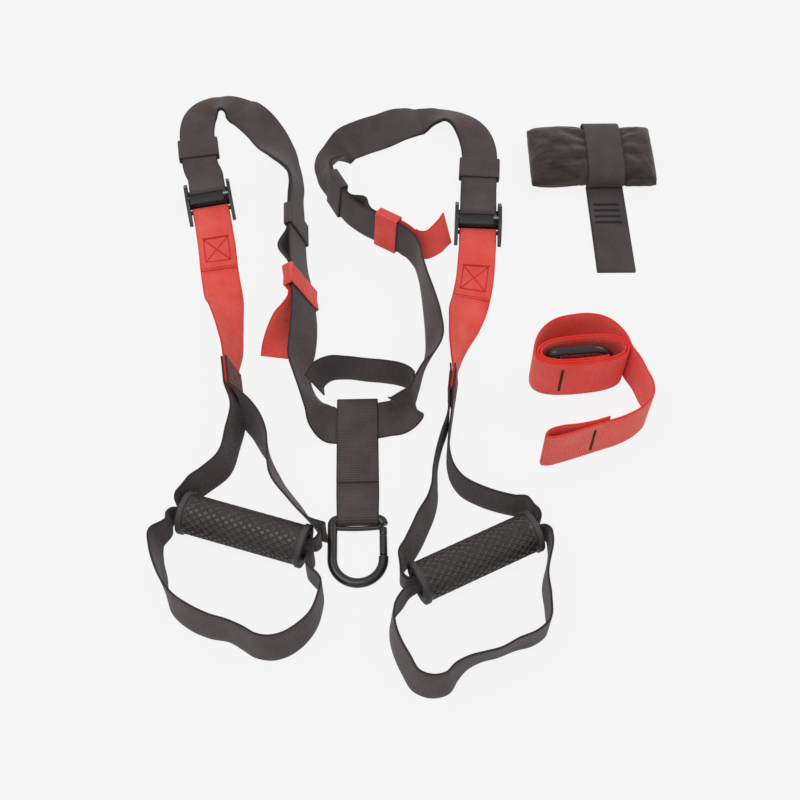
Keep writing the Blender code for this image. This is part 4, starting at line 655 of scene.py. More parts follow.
def rounded_box(half_a, half_b, radius):
    """Closed rounded rectangle as (a, b): straight sides joined by quarter circles."""
    turn = np.linspace(0, math.pi / 2, 5)
    points = []
    for quarter, (sa, sb) in enumerate(((1, 1), (-1, 1), (-1, -1), (1, -1))):
        a = turn + quarter * math.pi / 2
        points.append(np.stack([sa * (half_a - radius) + radius * np.cos(a),
                                sb * (half_b - radius) + radius * np.sin(a)], 1))
        if sa == sb:
            side = np.linspace(1, -1, 12)[1:-1] * (half_a - radius) * sa
            points.append(np.stack([side, np.full(len(side), half_b * sb)], 1))
    return np.concatenate(points)


def sleeve(name, middle, chord, across, through, deep, length, finish_of, body, slot, node, lies_on,
           skew=0.0):
    """A sewn sleeve: webbing wrapped round a strap that is 2 deep thick, its own width along the strap."""
    wall = KEEPER_WALL
    half_a, half_b = WEB_W / 2 + KEEPER_PLAY + wall / 2, deep + KEEPER_PLAY + wall / 2
    loop = rounded_box(half_a, half_b, wall * 0.8)
    a, b = loop[:, 0], loop[:, 1]
    centre = middle + across * a[:, None] + through * b[:, None] + chord * (skew / 2 * a / half_a)[:, None]
    run = Run(centre, chord, tangent=unit(ring_slope(centre)))
    band(name, run, finish_of, body, slot, node, "folded", lies_on, length, wall, closed=True)


def make_main_side(side):
    run = main_run(side)
    rings = run.picks(**FINE)
    collar = run.near(*COLLAR_SHARES[side])
    ramp = tail_start(side, run)
    low, flat, half = BAR_HEIGHT - WRAP_R, WEB_T / 2, PLATE_LEN / 2
    across = buckle_knots(side)[0, 3:]
    bottom = run_through(np.array([[*buckle_point(side, out * half, flat + (low - flat) * share), *across]
                                   for out, share in UNDER_SHARES]))
    tail = tail_run(side, run).part(rings[(rings < ramp - 4) & (rings > collar)]).reversed()
    turned = half_turn(side, 0.0, BAR_HEIGHT, WRAP_R, across, math.pi / 2, 3 * math.pi / 2, 15)
    chain = joined([run.part(rings), turned.part(slice(1, -1)), bottom.fine(), tail])
    band("main_webbing_" + side, chain, *BLACK_STRAP, "main_strap_" + side, "folded", "buckle_frame_" + side)
    away = SIDE_SIGN[side]
    for number, place in enumerate(KEEPER_SHARES[side], 1):
        a, b, chord, wide, through = straight(run, run.near(*place), KEEPER_LEN)
        node = f"keeper_{side}_{number}"
        sleeve("webbing_" + node, (a + b) / 2 + through * away * PITCH / 2, chord, wide, through,
               WEB_T + GAP / 2, KEEPER_LEN, BLACK_WEB, node, "black_webbing", node, "main_webbing_" + side)
    a, b, chord, wide, through = straight(run, collar, COLLAR_LEN)
    sleeve("red_collar_" + side, (a + b) / 2 + through * away * PITCH, chord, wide, through,
           (3 * WEB_T + 2 * GAP) / 2, COLLAR_LEN, RED_WEB, "adjuster_" + side, "red_webbing",
           "tab_collar_" + side, "main_webbing_" + side, COLLAR_SKEW_SHARE[side] * COLLAR_LEN)
    lay = through * away * (2 * PITCH + 1.5 * GAP)
    along = -chord
    first = b + lay + along * COLLAR_LEN * 0.1
    knots = [[*first, *wide], [*(first + along * COLLAR_LEN * 0.55), *wide],
             [*(a + lay + along * COLLAR_LEN * 0.16), *wide]]
    for x, y, rise, wx, wy, wz in TAB_SHARES[side]:
        spot = np.array([x * SPREAD_LEN, y * SPREAD_LEN, WEB_T / 2 + rise * WEB_W])
        knots.append([*spot, *unit([wx, wy, wz])])
    tab = run_through(np.array(knots))
    band("red_pull_tab_" + side, tab.fine(), RED_WEB, "adjuster_" + side, "red_webbing", "adjust_tab_" + side,
         "stretched", "red_collar_" + side)
    return run


def make_equalizer():
    run = run_through(plan_knots(EQUALIZER_SHARES))
    band("equalizer_webbing", run.fine(), *BLACK_STRAP, "equalizer_loop", "stretched", "main_webbing_left")


def smooth_path(points, step=0.0012):
    """Points (y, z) of a fold joined by an evenly spaced polyline, bends kept."""
    points = np.asarray(points, float)
    t = walked(points)
    s = np.unique(np.concatenate([t, np.arange(0, t[-1], step)]))
    return np.stack([np.interp(s, t, points[:, k]) for k in range(points.shape[1])], 1)


def make_anchor():
    bottom, middle, top = WEB_T / 2, WEB_T / 2 + PITCH, WEB_T / 2 + 2 * PITCH
    bend = (top - bottom) / 2
    north = ANCHOR_LEN - bend
    seam = SEAM_SHARE * ANCHOR_LEN
    a = np.linspace(0, math.pi, 13)[1:-1]
    hook = np.linspace(0, math.pi * 1.10, 21)[1:]
    path = np.vstack([[(seam, top), (north * 0.55, top), (north, top)],
                      np.stack([north + bend * np.sin(a), bottom + bend + bend * np.cos(a)], 1),
                      [(north, bottom), (0.0, bottom)],
                      np.stack([-HOOK_WRAP_R * np.sin(hook), HOOK_HEIGHT - HOOK_WRAP_R * np.cos(hook)], 1),
                      [(seam * 0.72, middle + GAP), (seam, middle), (LAP_SHARE * ANCHOR_LEN * 0.8, middle)]])
    path = smooth_path(path, 0.0028)
    y = path[:, 0]
    pinch = 1 - (1 - HOOK_GATHER) * np.clip(1 - y / (seam * 0.7), 0, 1)
    matrix = placed(*ANCHOR_SHARES[:2], 0.0, ANCHOR_SHARES[2])
    run = Run(upright(matrix, 0.0, path), aimed(matrix, -1, 0), pinch)
    band("anchor_webbing", run, RIBBED_WEB, "root", "black_webbing", "anchor_strap", "folded",
         "carabiner_frame")


def make_lower(side):
    half = PLATE_LEN / 2
    low = STRAP_BAR_HEIGHT - STRAP_WRAP_R
    across = aimed(buckle_matrix(side), -1, 0)
    near = [[*buckle_point(side, -STRAP_BAR_BACK, low), *across],
            [*buckle_point(side, -half * 1.05, low - GAP / 2), *across]]
    run = run_through(np.vstack([near, plan_knots(LOWER_SHARES[side])]))
    rings = run.fine()
    high = STRAP_BAR_HEIGHT + STRAP_WRAP_R
    second = WEB_T / 2 + PITCH + GAP
    flap = FLAP_SHARES[side] * SPREAD_LEN
    top = [(-flap, second), (-flap * 0.8, second), (-half * 1.45, second), (-half * 1.1, second + GAP * 3),
           (-half * 0.8, (high + second) / 2), (-half * 0.6, high - 2 * GAP), (-STRAP_BAR_BACK - GAP, high)]
    rows = []
    origin = buckle_point(side, 0.0, 0.0)
    for along, height in top:
        spot = buckle_point(side, along, 0.0)
        if along < -half * 1.4:
            spot = run.c[int(np.argmin(np.abs(np.linalg.norm(run.c[:, :2] - origin[:2], axis=1) + along)))]
        rows.append([spot[0], spot[1], height, *across])
    upper = run_through(np.array(rows))
    wrap = half_turn(side, -STRAP_BAR_BACK, STRAP_BAR_HEIGHT, STRAP_WRAP_R, across,
                     math.pi / 2, -math.pi / 2, 15)
    chain = joined([upper.fine(), wrap.part(slice(0, -1)), rings])
    band("red_lower_webbing_" + side, chain, *RED_STRAP, "lower_strap_" + side, "folded",
         "buckle_frame_" + side)
    return run, upper


def full_width(knots):
    """Knots with a gather of 1 added, where the webbing has its full width."""
    return np.column_stack([knots, np.ones(len(knots))])


def end_knots(side, end, bank, shares, depth):
    """Knots from outside the rim into the bore: end and bank are the signs of X and Y."""
    half = GRIP_LEN / 2
    drop = (WEB_W / 2 - GRIP_HEIGHT) / (1 - GATHER)
    rows = [((half + out * GRIP_R) * end, lateral * GRIP_R * bank, drop * (gather - GATHER), gather)
            for out, lateral, gather in shares]
    rows += [((half - inset) * end, BESIDE * bank, 0.0, GATHER)
             for inset in (-0.15 * GRIP_R, 0.4 * depth, depth)]
    rows = np.array(rows)
    return np.column_stack([at(grip_matrix(side), rows[:, :3]), np.tile(UP, (len(rows), 1)), rows[:, 3]])


def make_handle(side, lower):
    first, second = HANDLE_SHARES[side]
    walk = walked(lower.c)[1:]
    start = int(np.argmin(np.abs(walk - (walk[-1] - LAP_LEN))))
    coarse = lower.picks()
    start = coarse[np.searchsorted(coarse, start)]
    rings = lower.picks(**FINE)
    lap = rings[rings >= start]
    west = lower.part(lap).shifted(PITCH)
    east = lower.part(lap).shifted(-PITCH).reversed()
    enter = end_knots(side, -1, 1, TIGHT_END_SHARES, GRIP_LEN / 3)
    leave = end_knots(side, 1, 1, TIGHT_END_SHARES, GRIP_LEN / 3)[::-1]
    top = np.array([[*west.c[-1], *west.w[-1], 1.0]])
    last = np.array([[*east.c[0], *east.w[0], 1.0]])
    middle = run_through(np.vstack([top, full_width(plan_knots(first)), enter, leave,
                                    full_width(plan_knots(second)), last]))
    chain = joined([west, middle.part(middle.picks(**FINE)[1:-1]), east])
    band("handle_webbing_" + side, chain, *BLACK_STRAP, "handle_strap_" + side, "gathered",
         "red_lower_webbing_" + side)
    return west, east


def make_foot_loop(side):
    first = TIGHT_END_SHARES if side == "left" else WIDE_END_SHARES
    inset = GRIP_R * 0.7
    enter = end_knots(side, -1, -1, first, inset)[::-1]
    leave = end_knots(side, 1, -1, TIGHT_END_SHARES, inset)
    run = run_through(np.vstack([enter, full_width(plan_knots(FOOT_SHARES[side])), leave]))
    band("foot_webbing_" + side, run.fine(), *BLACK_STRAP, "foot_loop_" + side, "gathered",
         "grip_core_" + side)


def turned_piece(name, profile, finish_of, side, node):
    """Profile (along, radius) turned about X: (x, r cos a, r sin a)."""
    along, r = np.asarray(profile, float).T
    a = np.arange(TURNED_SIDES)[:, None] * 2 * math.pi / TURNED_SIDES
    verts = np.stack([along + 0 * a, r * np.cos(a), r * np.sin(a)], 2).reshape(-1, 3)
    mesh_piece(name, at(grip_matrix(side), verts), lattice(TURNED_SIDES, len(profile), True), finish_of,
               "grip_" + side, (node,))


def make_grip(side):
    """Knurled sleeve, core tube and two flanges, turned about X.

    The knurl is two crossed families of raised lines, where |sin((starts x angle +- 2 pi along / pitch) / 2)|
    is small, over a ground that is KNURL_DEPTH lower.
    """
    half = GRIP_LEN / 2
    inner = half - CAP_T - GAP
    x = np.linspace(-inner, inner, KNURL_ROWS)
    a = np.arange(KNURL_AROUND) * 2 * math.pi / KNURL_AROUND
    twist = 2 * math.pi / KNURL_PITCH * x[:, None]
    lines = [np.abs(np.sin((KNURL_STARTS * a[None] + way * twist) / 2)) for way in (1, -1)]
    raised = 1 - np.clip(np.minimum(*lines) / KNURL_LINE, 0, 1) ** 1.5
    fade = np.clip((inner - np.abs(x)) / KNURL_FADE, 0, 1)[:, None]
    r = GRIP_R - KNURL_DEPTH * (1 - raised) * fade
    bore_r = GRIP_R - SLEEVE_WALL
    r = np.vstack([r, np.full((2, KNURL_AROUND), bore_r)])
    x = np.append(x, (inner, -inner))[:, None]
    verts = np.stack([x + 0 * r, r * np.cos(a), r * np.sin(a)], 2).reshape(-1, 3)
    mesh_piece("knurled_sleeve_" + side, at(grip_matrix(side), verts),
               lattice(KNURL_ROWS + 2, KNURL_AROUND, True), KNURLED, "grip_" + side,
               ("grip_sleeve_" + side,))
    core_r = bore_r - GAP
    core = [(-inner, core_r), (inner, core_r), (inner, BORE_R), (-inner, BORE_R)]
    turned_piece("core_tube_" + side, core, NYLON, side, "grip_core_" + side)
    rim = GRIP_R + CAP_RIM
    soft = CAP_RIM * 0.8
    arc = np.linspace(0, math.pi / 2, 7)
    for end in (-1, 1):
        word = "outer" if end == SIDE_SIGN[side] else "inner"
        start = half - CAP_T
        profile = [(start, BORE_R), (start, rim - 0.4 * MM), (start + 0.4 * MM, rim)]
        profile += [(half - soft + soft * math.sin(t), rim - soft + soft * math.cos(t)) for t in arc]
        lip = BORE_R + 1.6 * MM
        profile += [(half - 0.5 * MM, rim - soft - 0.6 * MM), (half - 0.6 * MM, lip + 0.6 * MM), (half, lip),
                    (half, BORE_R + 0.5 * MM), (half - 0.5 * MM, BORE_R)]
        turned_piece(f"flange_{side}_{word}", np.array(profile) * (end, 1), RUBBER, side,
                     f"grip_cap_{side}_{word}")


# door anchor
def pad_section(u, v):
    """Half height of the pad at shares u along, v across: rounded to its edge, squeezed by the belt."""
    edge = (1 - np.abs(u) ** 3.2) * (1 - np.abs(v) ** 2.6)
    belt = np.exp(-((u - WRAP_SHARE) / 0.30) ** 4)
    return PAD_H / 2 * np.clip(edge, 0, 1) ** 0.42 * (1 - (1 - SQUEEZE) * belt)


def pad_point(u, v):
    """Place of (u, v): a cushion's outline, its sides drawn in between the corners and by the belt."""
    belt = np.exp(-((u - WRAP_SHARE) / 0.36) ** 4)
    return (u * PAD_L / 2 * (1 - 0.035 * (1 - v**2) - 0.05 * v**4),
            v * PAD_D / 2 * (1 - 0.05 * (1 - u**2) - 0.07 * u**6 - 0.06 * belt))


def make_door_anchor():
    """Belt round the pad's squeezed section, loop strap folded under it with its bar tacks, and the pad."""
    matrix = placed(*PAD_SHARES[:2], 0.0, PAD_SHARES[2])
    middle, centre_x = PAD_H / 2 * SQUEEZE, WRAP_SHARE * PAD_L / 2
    v = np.sin(np.linspace(-0.5, 0.5, 15) * math.pi)
    us = WRAP_SHARE + np.linspace(-1, 1, 7)[:, None] * DOOR_WEB_W / PAD_L
    half = np.max(pad_section(us, v[None, :]), axis=0)
    y = np.max(np.abs(pad_point(us, np.abs(v)[None, :])[1]), axis=0) * np.sign(v)
    y = np.where(y > 0, y * WRAP_SLACK, y)
    loop = np.vstack([np.stack([y, middle + half], 1),
                      np.stack([y[::-1], np.maximum(middle - half[::-1], 0.0)], 1)[1:-1]])
    tangent = ring_slope(loop)
    normal = unit(np.stack([-tangent[:, 1], tangent[:, 0]], 1))
    line = loop + normal * (WEB_T / 2 + 2 * GAP)
    outer = loop + normal * (WEB_T + 2 * GAP)
    low = float(np.min(outer[:, 1]))
    closed = np.vstack([line, line[:1]])
    t = walked(closed)
    s = np.linspace(0, t[-1], 121)[:-1]
    ring = np.stack([np.interp(s, t, closed[:, k]) for k in (0, 1)], 1)
    for _ in range(3):
        ring = 0.5 * ring + 0.25 * (np.roll(ring, 1, 0) + np.roll(ring, -1, 0))
    ring[:, 1] = np.maximum(ring[:, 1] - low, WEB_T / 2)
    centre = upright(matrix, centre_x, ring)
    across = aimed(matrix, 1, 0)
    run = Run(centre, across, tangent=unit(ring_slope(centre)))
    band("pad_belt_webbing", run, *DOOR_STRAP, "door_wrap_strap", "folded", "door_pad", DOOR_WEB_W,
         closed=True)

    top_z = WEB_T / 2 + PITCH
    under = np.vstack([outer[:1], outer[:len(y) - 1:-1]])[:len(y) // 2 + 1] - (0.0, low)
    clear = top_z + WEB_T / 2 + GAP
    south = float(np.interp(-clear, -under[:, 1], under[:, 0])) - GAP
    end, fold = -LOOP_REACH, PITCH / 2
    a = np.linspace(0, math.pi, 9)
    inner_y = south * 0.45 + end * 0.55
    south += TUCK
    path = np.vstack([[(south, WEB_T / 2), (inner_y, WEB_T / 2)],
                      np.stack([end - fold * np.sin(a), WEB_T / 2 + fold - fold * np.cos(a)], 1),
                      [(inner_y, top_z), (south, top_z)]])
    run = Run(upright(matrix, centre_x, smooth_path(path, 0.003)), across)
    band("door_loop_webbing", run, *DOOR_STRAP, "door_loop_strap", "folded", "pad_belt_webbing", DOOR_WEB_W)
    bars = np.array([(-BAR_FIRST - BAR_APART * k, top_z + WEB_T / 2 + THREAD_LIFT) for k in range(BAR_COUNT)])
    bars = [(spot - across * BAR_HALF, spot + across * BAR_HALF)
            for spot in upright(matrix, centre_x - BAR_ASIDE, bars)]
    thread("door_bar_tacks", bars, UP, DARK_THREAD, "door_anchor", "black_webbing", BAR_GAUGE, BAR_PITCH,
           True)
    make_pad(matrix, low, middle)


def blown(verts, faces, held_x, held_half):
    """The pad's cover filled out by cloth simulation.

    The closed form is remeshed and becomes cloth that is cut larger than the form by PAD_SHRINK and pushed
    by an inner pressure. It is held still under the belt, and no point moves farther than PAD_MOVE.
    """
    scene = bpy.context.scene
    mesh = bpy.data.meshes.new("pad cover")
    mesh.from_pydata(verts.tolist(), [], faces)
    cover = linked("pad_cover", mesh)
    grid = cover.modifiers.new("remesh", "REMESH")
    grid.mode, grid.voxel_size = "VOXEL", PAD_VOXEL
    cover.data = bpy.data.meshes.new_from_object(cover.evaluated_get(bpy.context.evaluated_depsgraph_get()))
    cover.modifiers.clear()
    before = np.array([p.co for p in cover.data.vertices])
    held = cover.vertex_groups.new(name="held")
    for k in np.flatnonzero(np.abs(before[:, 0] - held_x) < held_half):
        held.add([int(k)], 1.0, "REPLACE")
    cloth = cover.modifiers.new("cloth", "CLOTH")
    cloth.settings.use_pressure, cloth.settings.uniform_pressure_force = True, PAD_PRESSURE
    cloth.settings.effector_weights.gravity = 0.0
    cloth.settings.vertex_group_mass = held.name
    cloth.settings.shrink_min = PAD_SHRINK
    cloth.point_cache.frame_end = PAD_FRAMES
    for step in range(1, PAD_FRAMES + 1):
        scene.frame_set(step)
    swollen = cover.evaluated_get(bpy.context.evaluated_depsgraph_get()).to_mesh()
    move = np.array([p.co for p in swollen.vertices]) - before
    reach = np.linalg.norm(move, axis=1, keepdims=True)
    after = before + move * np.minimum(1.0, PAD_MOVE / np.maximum(reach, TINY))
    after[:, 2] = np.maximum(after[:, 2], GAP)
    shape = [tuple(p.vertices) for p in cover.data.polygons]
    bpy.data.objects.remove(cover)
    scene.frame_set(1)
    return after, shape


def make_pad(matrix, low, middle):
    """Stuffed pad: z = middle +- section(u, v), folds raised by waves that die away from the belt."""
    u = np.sin(np.linspace(-0.47, 0.47, PAD_U) * math.pi) / math.sin(0.47 * math.pi)
    v = np.sin(np.linspace(-0.485, 0.485, PAD_V) * math.pi) / math.sin(0.485 * math.pi)
    uu, vv = np.meshgrid(u, v, indexing="ij")
    x, y = pad_point(uu, vv)
    half = pad_section(uu, vv)
    ear = np.abs(uu) ** 9 * np.abs(vv) ** 7
    x, y = x + np.sign(uu) * ear * EAR, y + np.sign(vv) * ear * EAR
    away = np.abs(uu - WRAP_SHARE) - DOOR_WEB_W / PAD_L
    fan = np.exp(-(np.maximum(away, 0) / 0.26)) * np.clip(away / 0.05, 0, 1)
    edge = np.clip((1 - np.abs(uu) ** 6) * (1 - np.abs(vv) ** 6), 0, 1)
    angle = np.arctan2(vv * 0.9, np.abs(uu - WRAP_SHARE) + 0.05)
    fold = fan * np.sin(angle * 9.0 + 1.3 * np.sign(uu) + 2.0 * uu) * FAN_FOLD
    wx, wy, wz = RIPPLE_WAVES
    fold += RIPPLE * np.sin(x * wx + 2.2 * np.sin(y * wy + uu * 2)) * np.sin(y * wz + 1.0)
    fold += RIDGE * np.exp(-((uu - 0.62 + 0.4 * vv) / 0.05) ** 2)
    fold -= DENT * np.exp(-((uu + 0.45 + 0.3 * vv) / 0.06) ** 2)
    calm = np.clip(away / 0.04, 0, 1)
    top = middle + half + fold * edge * calm
    bottom = np.maximum(middle - half, 0.0)
    rim = np.zeros_like(uu, bool)
    rim[[0, -1], :] = True
    rim[:, [0, -1]] = True
    top[rim] = middle
    index_top = np.arange(PAD_U * PAD_V).reshape(PAD_U, PAD_V)
    index_low = index_top.copy()
    index_low[~rim] = PAD_U * PAD_V + np.arange((~rim).sum())
    verts = np.vstack([np.stack([x, y, top], 2).reshape(-1, 3),
                       np.stack([x[~rim], y[~rim], bottom[~rim]], 1)])
    quads = [np.stack([k[:-1, :-1], k[1:, :-1], k[1:, 1:], k[:-1, 1:]], 2).reshape(-1, 4)
             for k in (index_top, index_low)]
    faces = quads[0].tolist() + quads[1][:, ::-1].tolist()
    verts[:, 2] -= low
    verts, faces = blown(verts, faces, WRAP_SHARE * PAD_L / 2, DOOR_WEB_W / 2 + 2 * GAP)
    piece = mesh_piece("stuffed_pad", at(matrix, verts), faces, PILE, "door_anchor",
                       ("door_pad",))
    finer = piece.modifiers.new("subdivision", "SUBSURF")
    finer.levels = finer.render_levels = 1


# extension strap
def make_extension():
    """The winding: a flattened spiral that grows outwards, its last turn loose, then tail and sewn loop."""
    first = math.radians(COIL_START_DEG)
    theta = first - np.linspace(0, COIL_TURNS * 2 * math.pi, int(24 * COIL_TURNS) + 1)
    turn = (first - theta) / (2 * math.pi)
    cos, sin = np.cos(theta), np.sin(theta)
    loose = np.maximum(sin, 0.0) ** 1.5 * np.clip((turn - 2.0) / 0.83, 0, 1) ** 0.5 * COIL_LOOSE
    x = (COIL_A + COIL_GROW * turn) * np.sign(cos) * np.abs(cos) ** 0.72
    y = (COIL_B + COIL_GROW * turn) * np.sign(sin) * np.abs(sin) ** 0.85 + loose
    cx, cy, tilt = COIL_SHARES
    a = math.radians(tilt)
    plan = np.stack([cx * SPREAD_LEN + x * math.cos(a) - y * math.sin(a),
                     cy * SPREAD_LEN + x * math.sin(a) + y * math.cos(a)], 1)
    tail = np.array(TAIL_SHARES) * SPREAD_LEN
    heading = tail[-1] - tail[-2]
    tip = tail[-1] + unit(heading) * TAIL_FOLD
    side = unit([-heading[1], heading[0]]) * -TAIL_FOLD
    plan = np.vstack([plan, tail, [tip + side * 0.4, tip + side, tail[-1] + side * 1.9],
                      np.array(FOLD_BACK_SHARES) * SPREAD_LEN])
    knots = np.column_stack([plan, np.full(len(plan), WIDE_WEB_W / 2), np.tile(UP, (len(plan), 1))])
    run = run_through(knots, WIDE_WEB_W)
    band("wound_red_webbing", run.fine(), LIGHTENED_WIDE_RED_WEB, "extension", "red_webbing", "extension_strap",
         "folded", "extension_carabiner_frame", WIDE_WEB_W)
    bars = []
    for x, y in TALL_BAR_SHARES:
        d = np.hypot(run.c[:, 0] - x * SPREAD_LEN, run.c[:, 1] - y * SPREAD_LEN)
        order = np.where(d < d.min() + 4 * MM)[0]
        i = order[np.argmin(run.c[order, 1])]
        out = run.n[i] * (1 if run.n[i, 1] < 0 else -1)
        spot = run.c[i] + out * (WEB_T / 2 + GAP)
        bars.append((spot - UP * TALL_BAR_HALF, spot + UP * TALL_BAR_HALF))
    thread("extension_bar_tacks", bars, (0.0, -1.0, 0.0), DARK_THREAD, "extension", "black_webbing",
           TALL_BAR_GAUGE, BAR_PITCH, True)


# thread
def thread(name, lines, face, finish_of, body, slot, gauge=0.8 * MM, pitch=3.0 * MM, crosswise=False):
    """Stitches as small capsules along straight lines on a face.

    Each capsule is a unit ellipsoid stretched to the pitch and the gauge; crosswise ones make a bar tack.
    """
    a = np.arange(8) * 2 * math.pi / 8
    levels = np.array([-1.0, -0.7, 0.0, 0.7, 1.0])
    reach = np.sqrt(np.maximum(0.04, 1 - levels**2))
    unit_verts = np.stack([levels[:, None] + 0 * a[None], reach[:, None] * np.cos(a)[None],
                           reach[:, None] * np.sin(a)[None]], 2).reshape(-1, 3)
    shell = lattice(len(levels), 8)
    verts, faces = [], []
    for start, end in lines:
        start, end = np.asarray(start, float), np.asarray(end, float)
        span = np.linalg.norm(end - start)
        count = max(1, int(round(span / pitch)))
        along = (end - start) / span
        up = unit(np.asarray(face, float) - along * np.dot(face, along))
        beside = np.cross(up, along)
        size = np.array((pitch * 0.62, gauge * 1.1, gauge * 0.45) if crosswise
                        else (span / count * 0.44, gauge / 2, gauge / 2))
        for k in range(count):
            middle = start + along * span * (k + 0.5) / count
            verts.append(middle + unit_verts * size @ np.array([along, beside, up]))
            base = (len(verts) - 1) * len(unit_verts)
            faces += [[i + base for i in f] for f in shell]
    mesh_piece(name, np.concatenate(verts), faces, finish_of, body)


def on_face(run, along, across, side):
    """Point and normal on a run's face at a walked distance and a place across, in metres."""
    walk = walked(run.c)
    pick = [np.array([np.interp(along, walk, q[:, k]) for k in range(3)]) for q in (run.c, run.w, run.n)]
    normal = unit(pick[2]) * side
    return pick[0] + pick[1] * across + normal * (WEB_T / 2 + THREAD_SUNK), normal


def box_stitch(name, run, start, length, half, side, gauge=0.9 * MM, cross=True, head=True):
    """A box sewn in red, with crossed diagonals and a doubled row at its head, on a face of a run."""
    corner = {(i, j): on_face(run, start + i * length, j * half, side) for i in (0, 1) for j in (-1, 1)}
    p = {k: v[0] for k, v in corner.items()}
    face = np.mean([v[1] for v in corner.values()], axis=0)
    lines = [(p[0, -1], p[0, 1]), (p[1, -1], p[1, 1]), (p[0, -1], p[1, -1]), (p[0, 1], p[1, 1])]
    if cross:
        lines += [(p[0, -1], p[1, 1]), (p[0, 1], p[1, -1])]
    if head:
        lines += [tuple(on_face(run, start - 1.3 * MM, half * share, side)[0] for share in (-1.12, 1.12))]
    thread(name, lines, face, *SEWING, gauge, 2.6 * MM)


# carabiners and buckles
def hook_points():
    """The rod's middle line: from the gate's top round the square head and the round bow to its foot."""
    half, top, end = HOOK_W / 2 - ROD_R, -ROD_R, -HOOK_LEN + ROD_R
    c = HOOK_CORNER
    a = np.linspace(0, math.pi / 2, 9)
    arc = np.linspace(0, math.pi, 36)
    bow = end + half
    rows = [[(half, top - c - 0.2 * ROD_R)],
            np.stack([half - c + c * np.cos(a), top - c + c * np.sin(a)], 1),
            np.stack([-half + c - c * np.sin(a), top - c + c * np.cos(a)], 1),
            np.stack([-half * np.cos(arc), bow - half * np.sin(arc)], 1),
            [(half, -(ROD_R + c + GATE_LEN + 1.5 * GATE_GAP))]]
    path = np.vstack(rows)
    return np.column_stack([path[:, 0], path[:, 1] + ROD_R, 0 * path[:, 0]])


def make_carabiner(prefix, matrix, body, gate_body):
    """Forged hook with tapered ends, the captive eye's wire, the gate with its groove, and the hinge boss."""
    half = HOOK_W / 2 - ROD_R
    path = smooth_path(hook_points(), 0.0016)
    taper = np.ones(len(path))
    taper[0] = taper[-1] = HOOK_TAPER
    tube(prefix + "_hook", at(matrix, path), ROD_R * HOOK_SWELL, 24, ALLOY, body,
         (prefix + "_frame",), HOOK_FLAT, taper)
    drop = ROD_R + WEB_T + 3 * GAP + EYE_R
    s = np.linspace(-1, 1, 25)
    eye = np.vstack([[(-half - ROD_R / 3, -drop * 0.35)],
                     np.stack([s * (half - ROD_R * 0.9), -drop * (1.12 - 0.12 * s * s)], 1),
                     [(half + ROD_R / 3, -drop * 0.35)]])
    eye = smooth_path(np.column_stack([eye, 0 * eye[:, 0]]), 0.001)
    tube(prefix + "_eye", at(matrix, eye), EYE_R * EYE_SWELL, 16, ALLOY, body)
    hinge_y = -(HOOK_CORNER + 0.55 * ROD_R + ROD_R)
    y = np.linspace(hinge_y + GATE_FOOT, -(HOOK_CORNER + GATE_LEN), 60)
    shape = np.ones(len(y))
    shape[[0, -1]] = 0.84
    shape[[1, -2]] = 0.95
    shape *= 1 - GROOVE_SHARE * np.exp(-((y - (hinge_y - GROOVE_FROM_HINGE)) / GROOVE_LEN) ** 2)
    gate = np.stack([np.full(len(y), half), y, 0 * y], 1)
    tube(prefix + "_gate_bar", at(matrix, gate), GATE_R, 28, ALLOY, gate_body,
         (prefix + "_gate",), shrink=shape)
    boss = at(matrix, [(half, hinge_y, z) for z in np.linspace(-BOSS_HALF, BOSS_HALF, 5)])
    tube(prefix + "_hinge_boss", boss, BOSS_R, 16, ALLOY, body, (prefix + "_gate_pin",),
         shrink=(0.8, 1, 1, 1, 0.8))


def softened(node, name, finish_of, body, width=0.35 * MM):
    """A rigid node's own shape with its edges rounded, as a moulding has them."""
    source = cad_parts[node]
    work = bmesh.new()
    work.from_mesh(source.data)
    bmesh.ops.remove_doubles(work, verts=work.verts, dist=0.005 * MM)
    bmesh.ops.dissolve_limit(work, angle_limit=math.radians(1.0), verts=work.verts, edges=work.edges)
    bmesh.ops.recalc_face_normals(work, faces=work.faces)
    mesh = bpy.data.meshes.new(name)
    work.to_mesh(mesh)
    work.free()
    made = linked(name, mesh)
    dressed(made, finish_of, body, (node,), 38)
    round_off = made.modifiers.new("rounding", "BEVEL")
    round_off.width, round_off.segments = width, 2
    round_off.limit_method, round_off.angle_limit = "ANGLE", math.radians(35)
    round_off.harden_normals = True


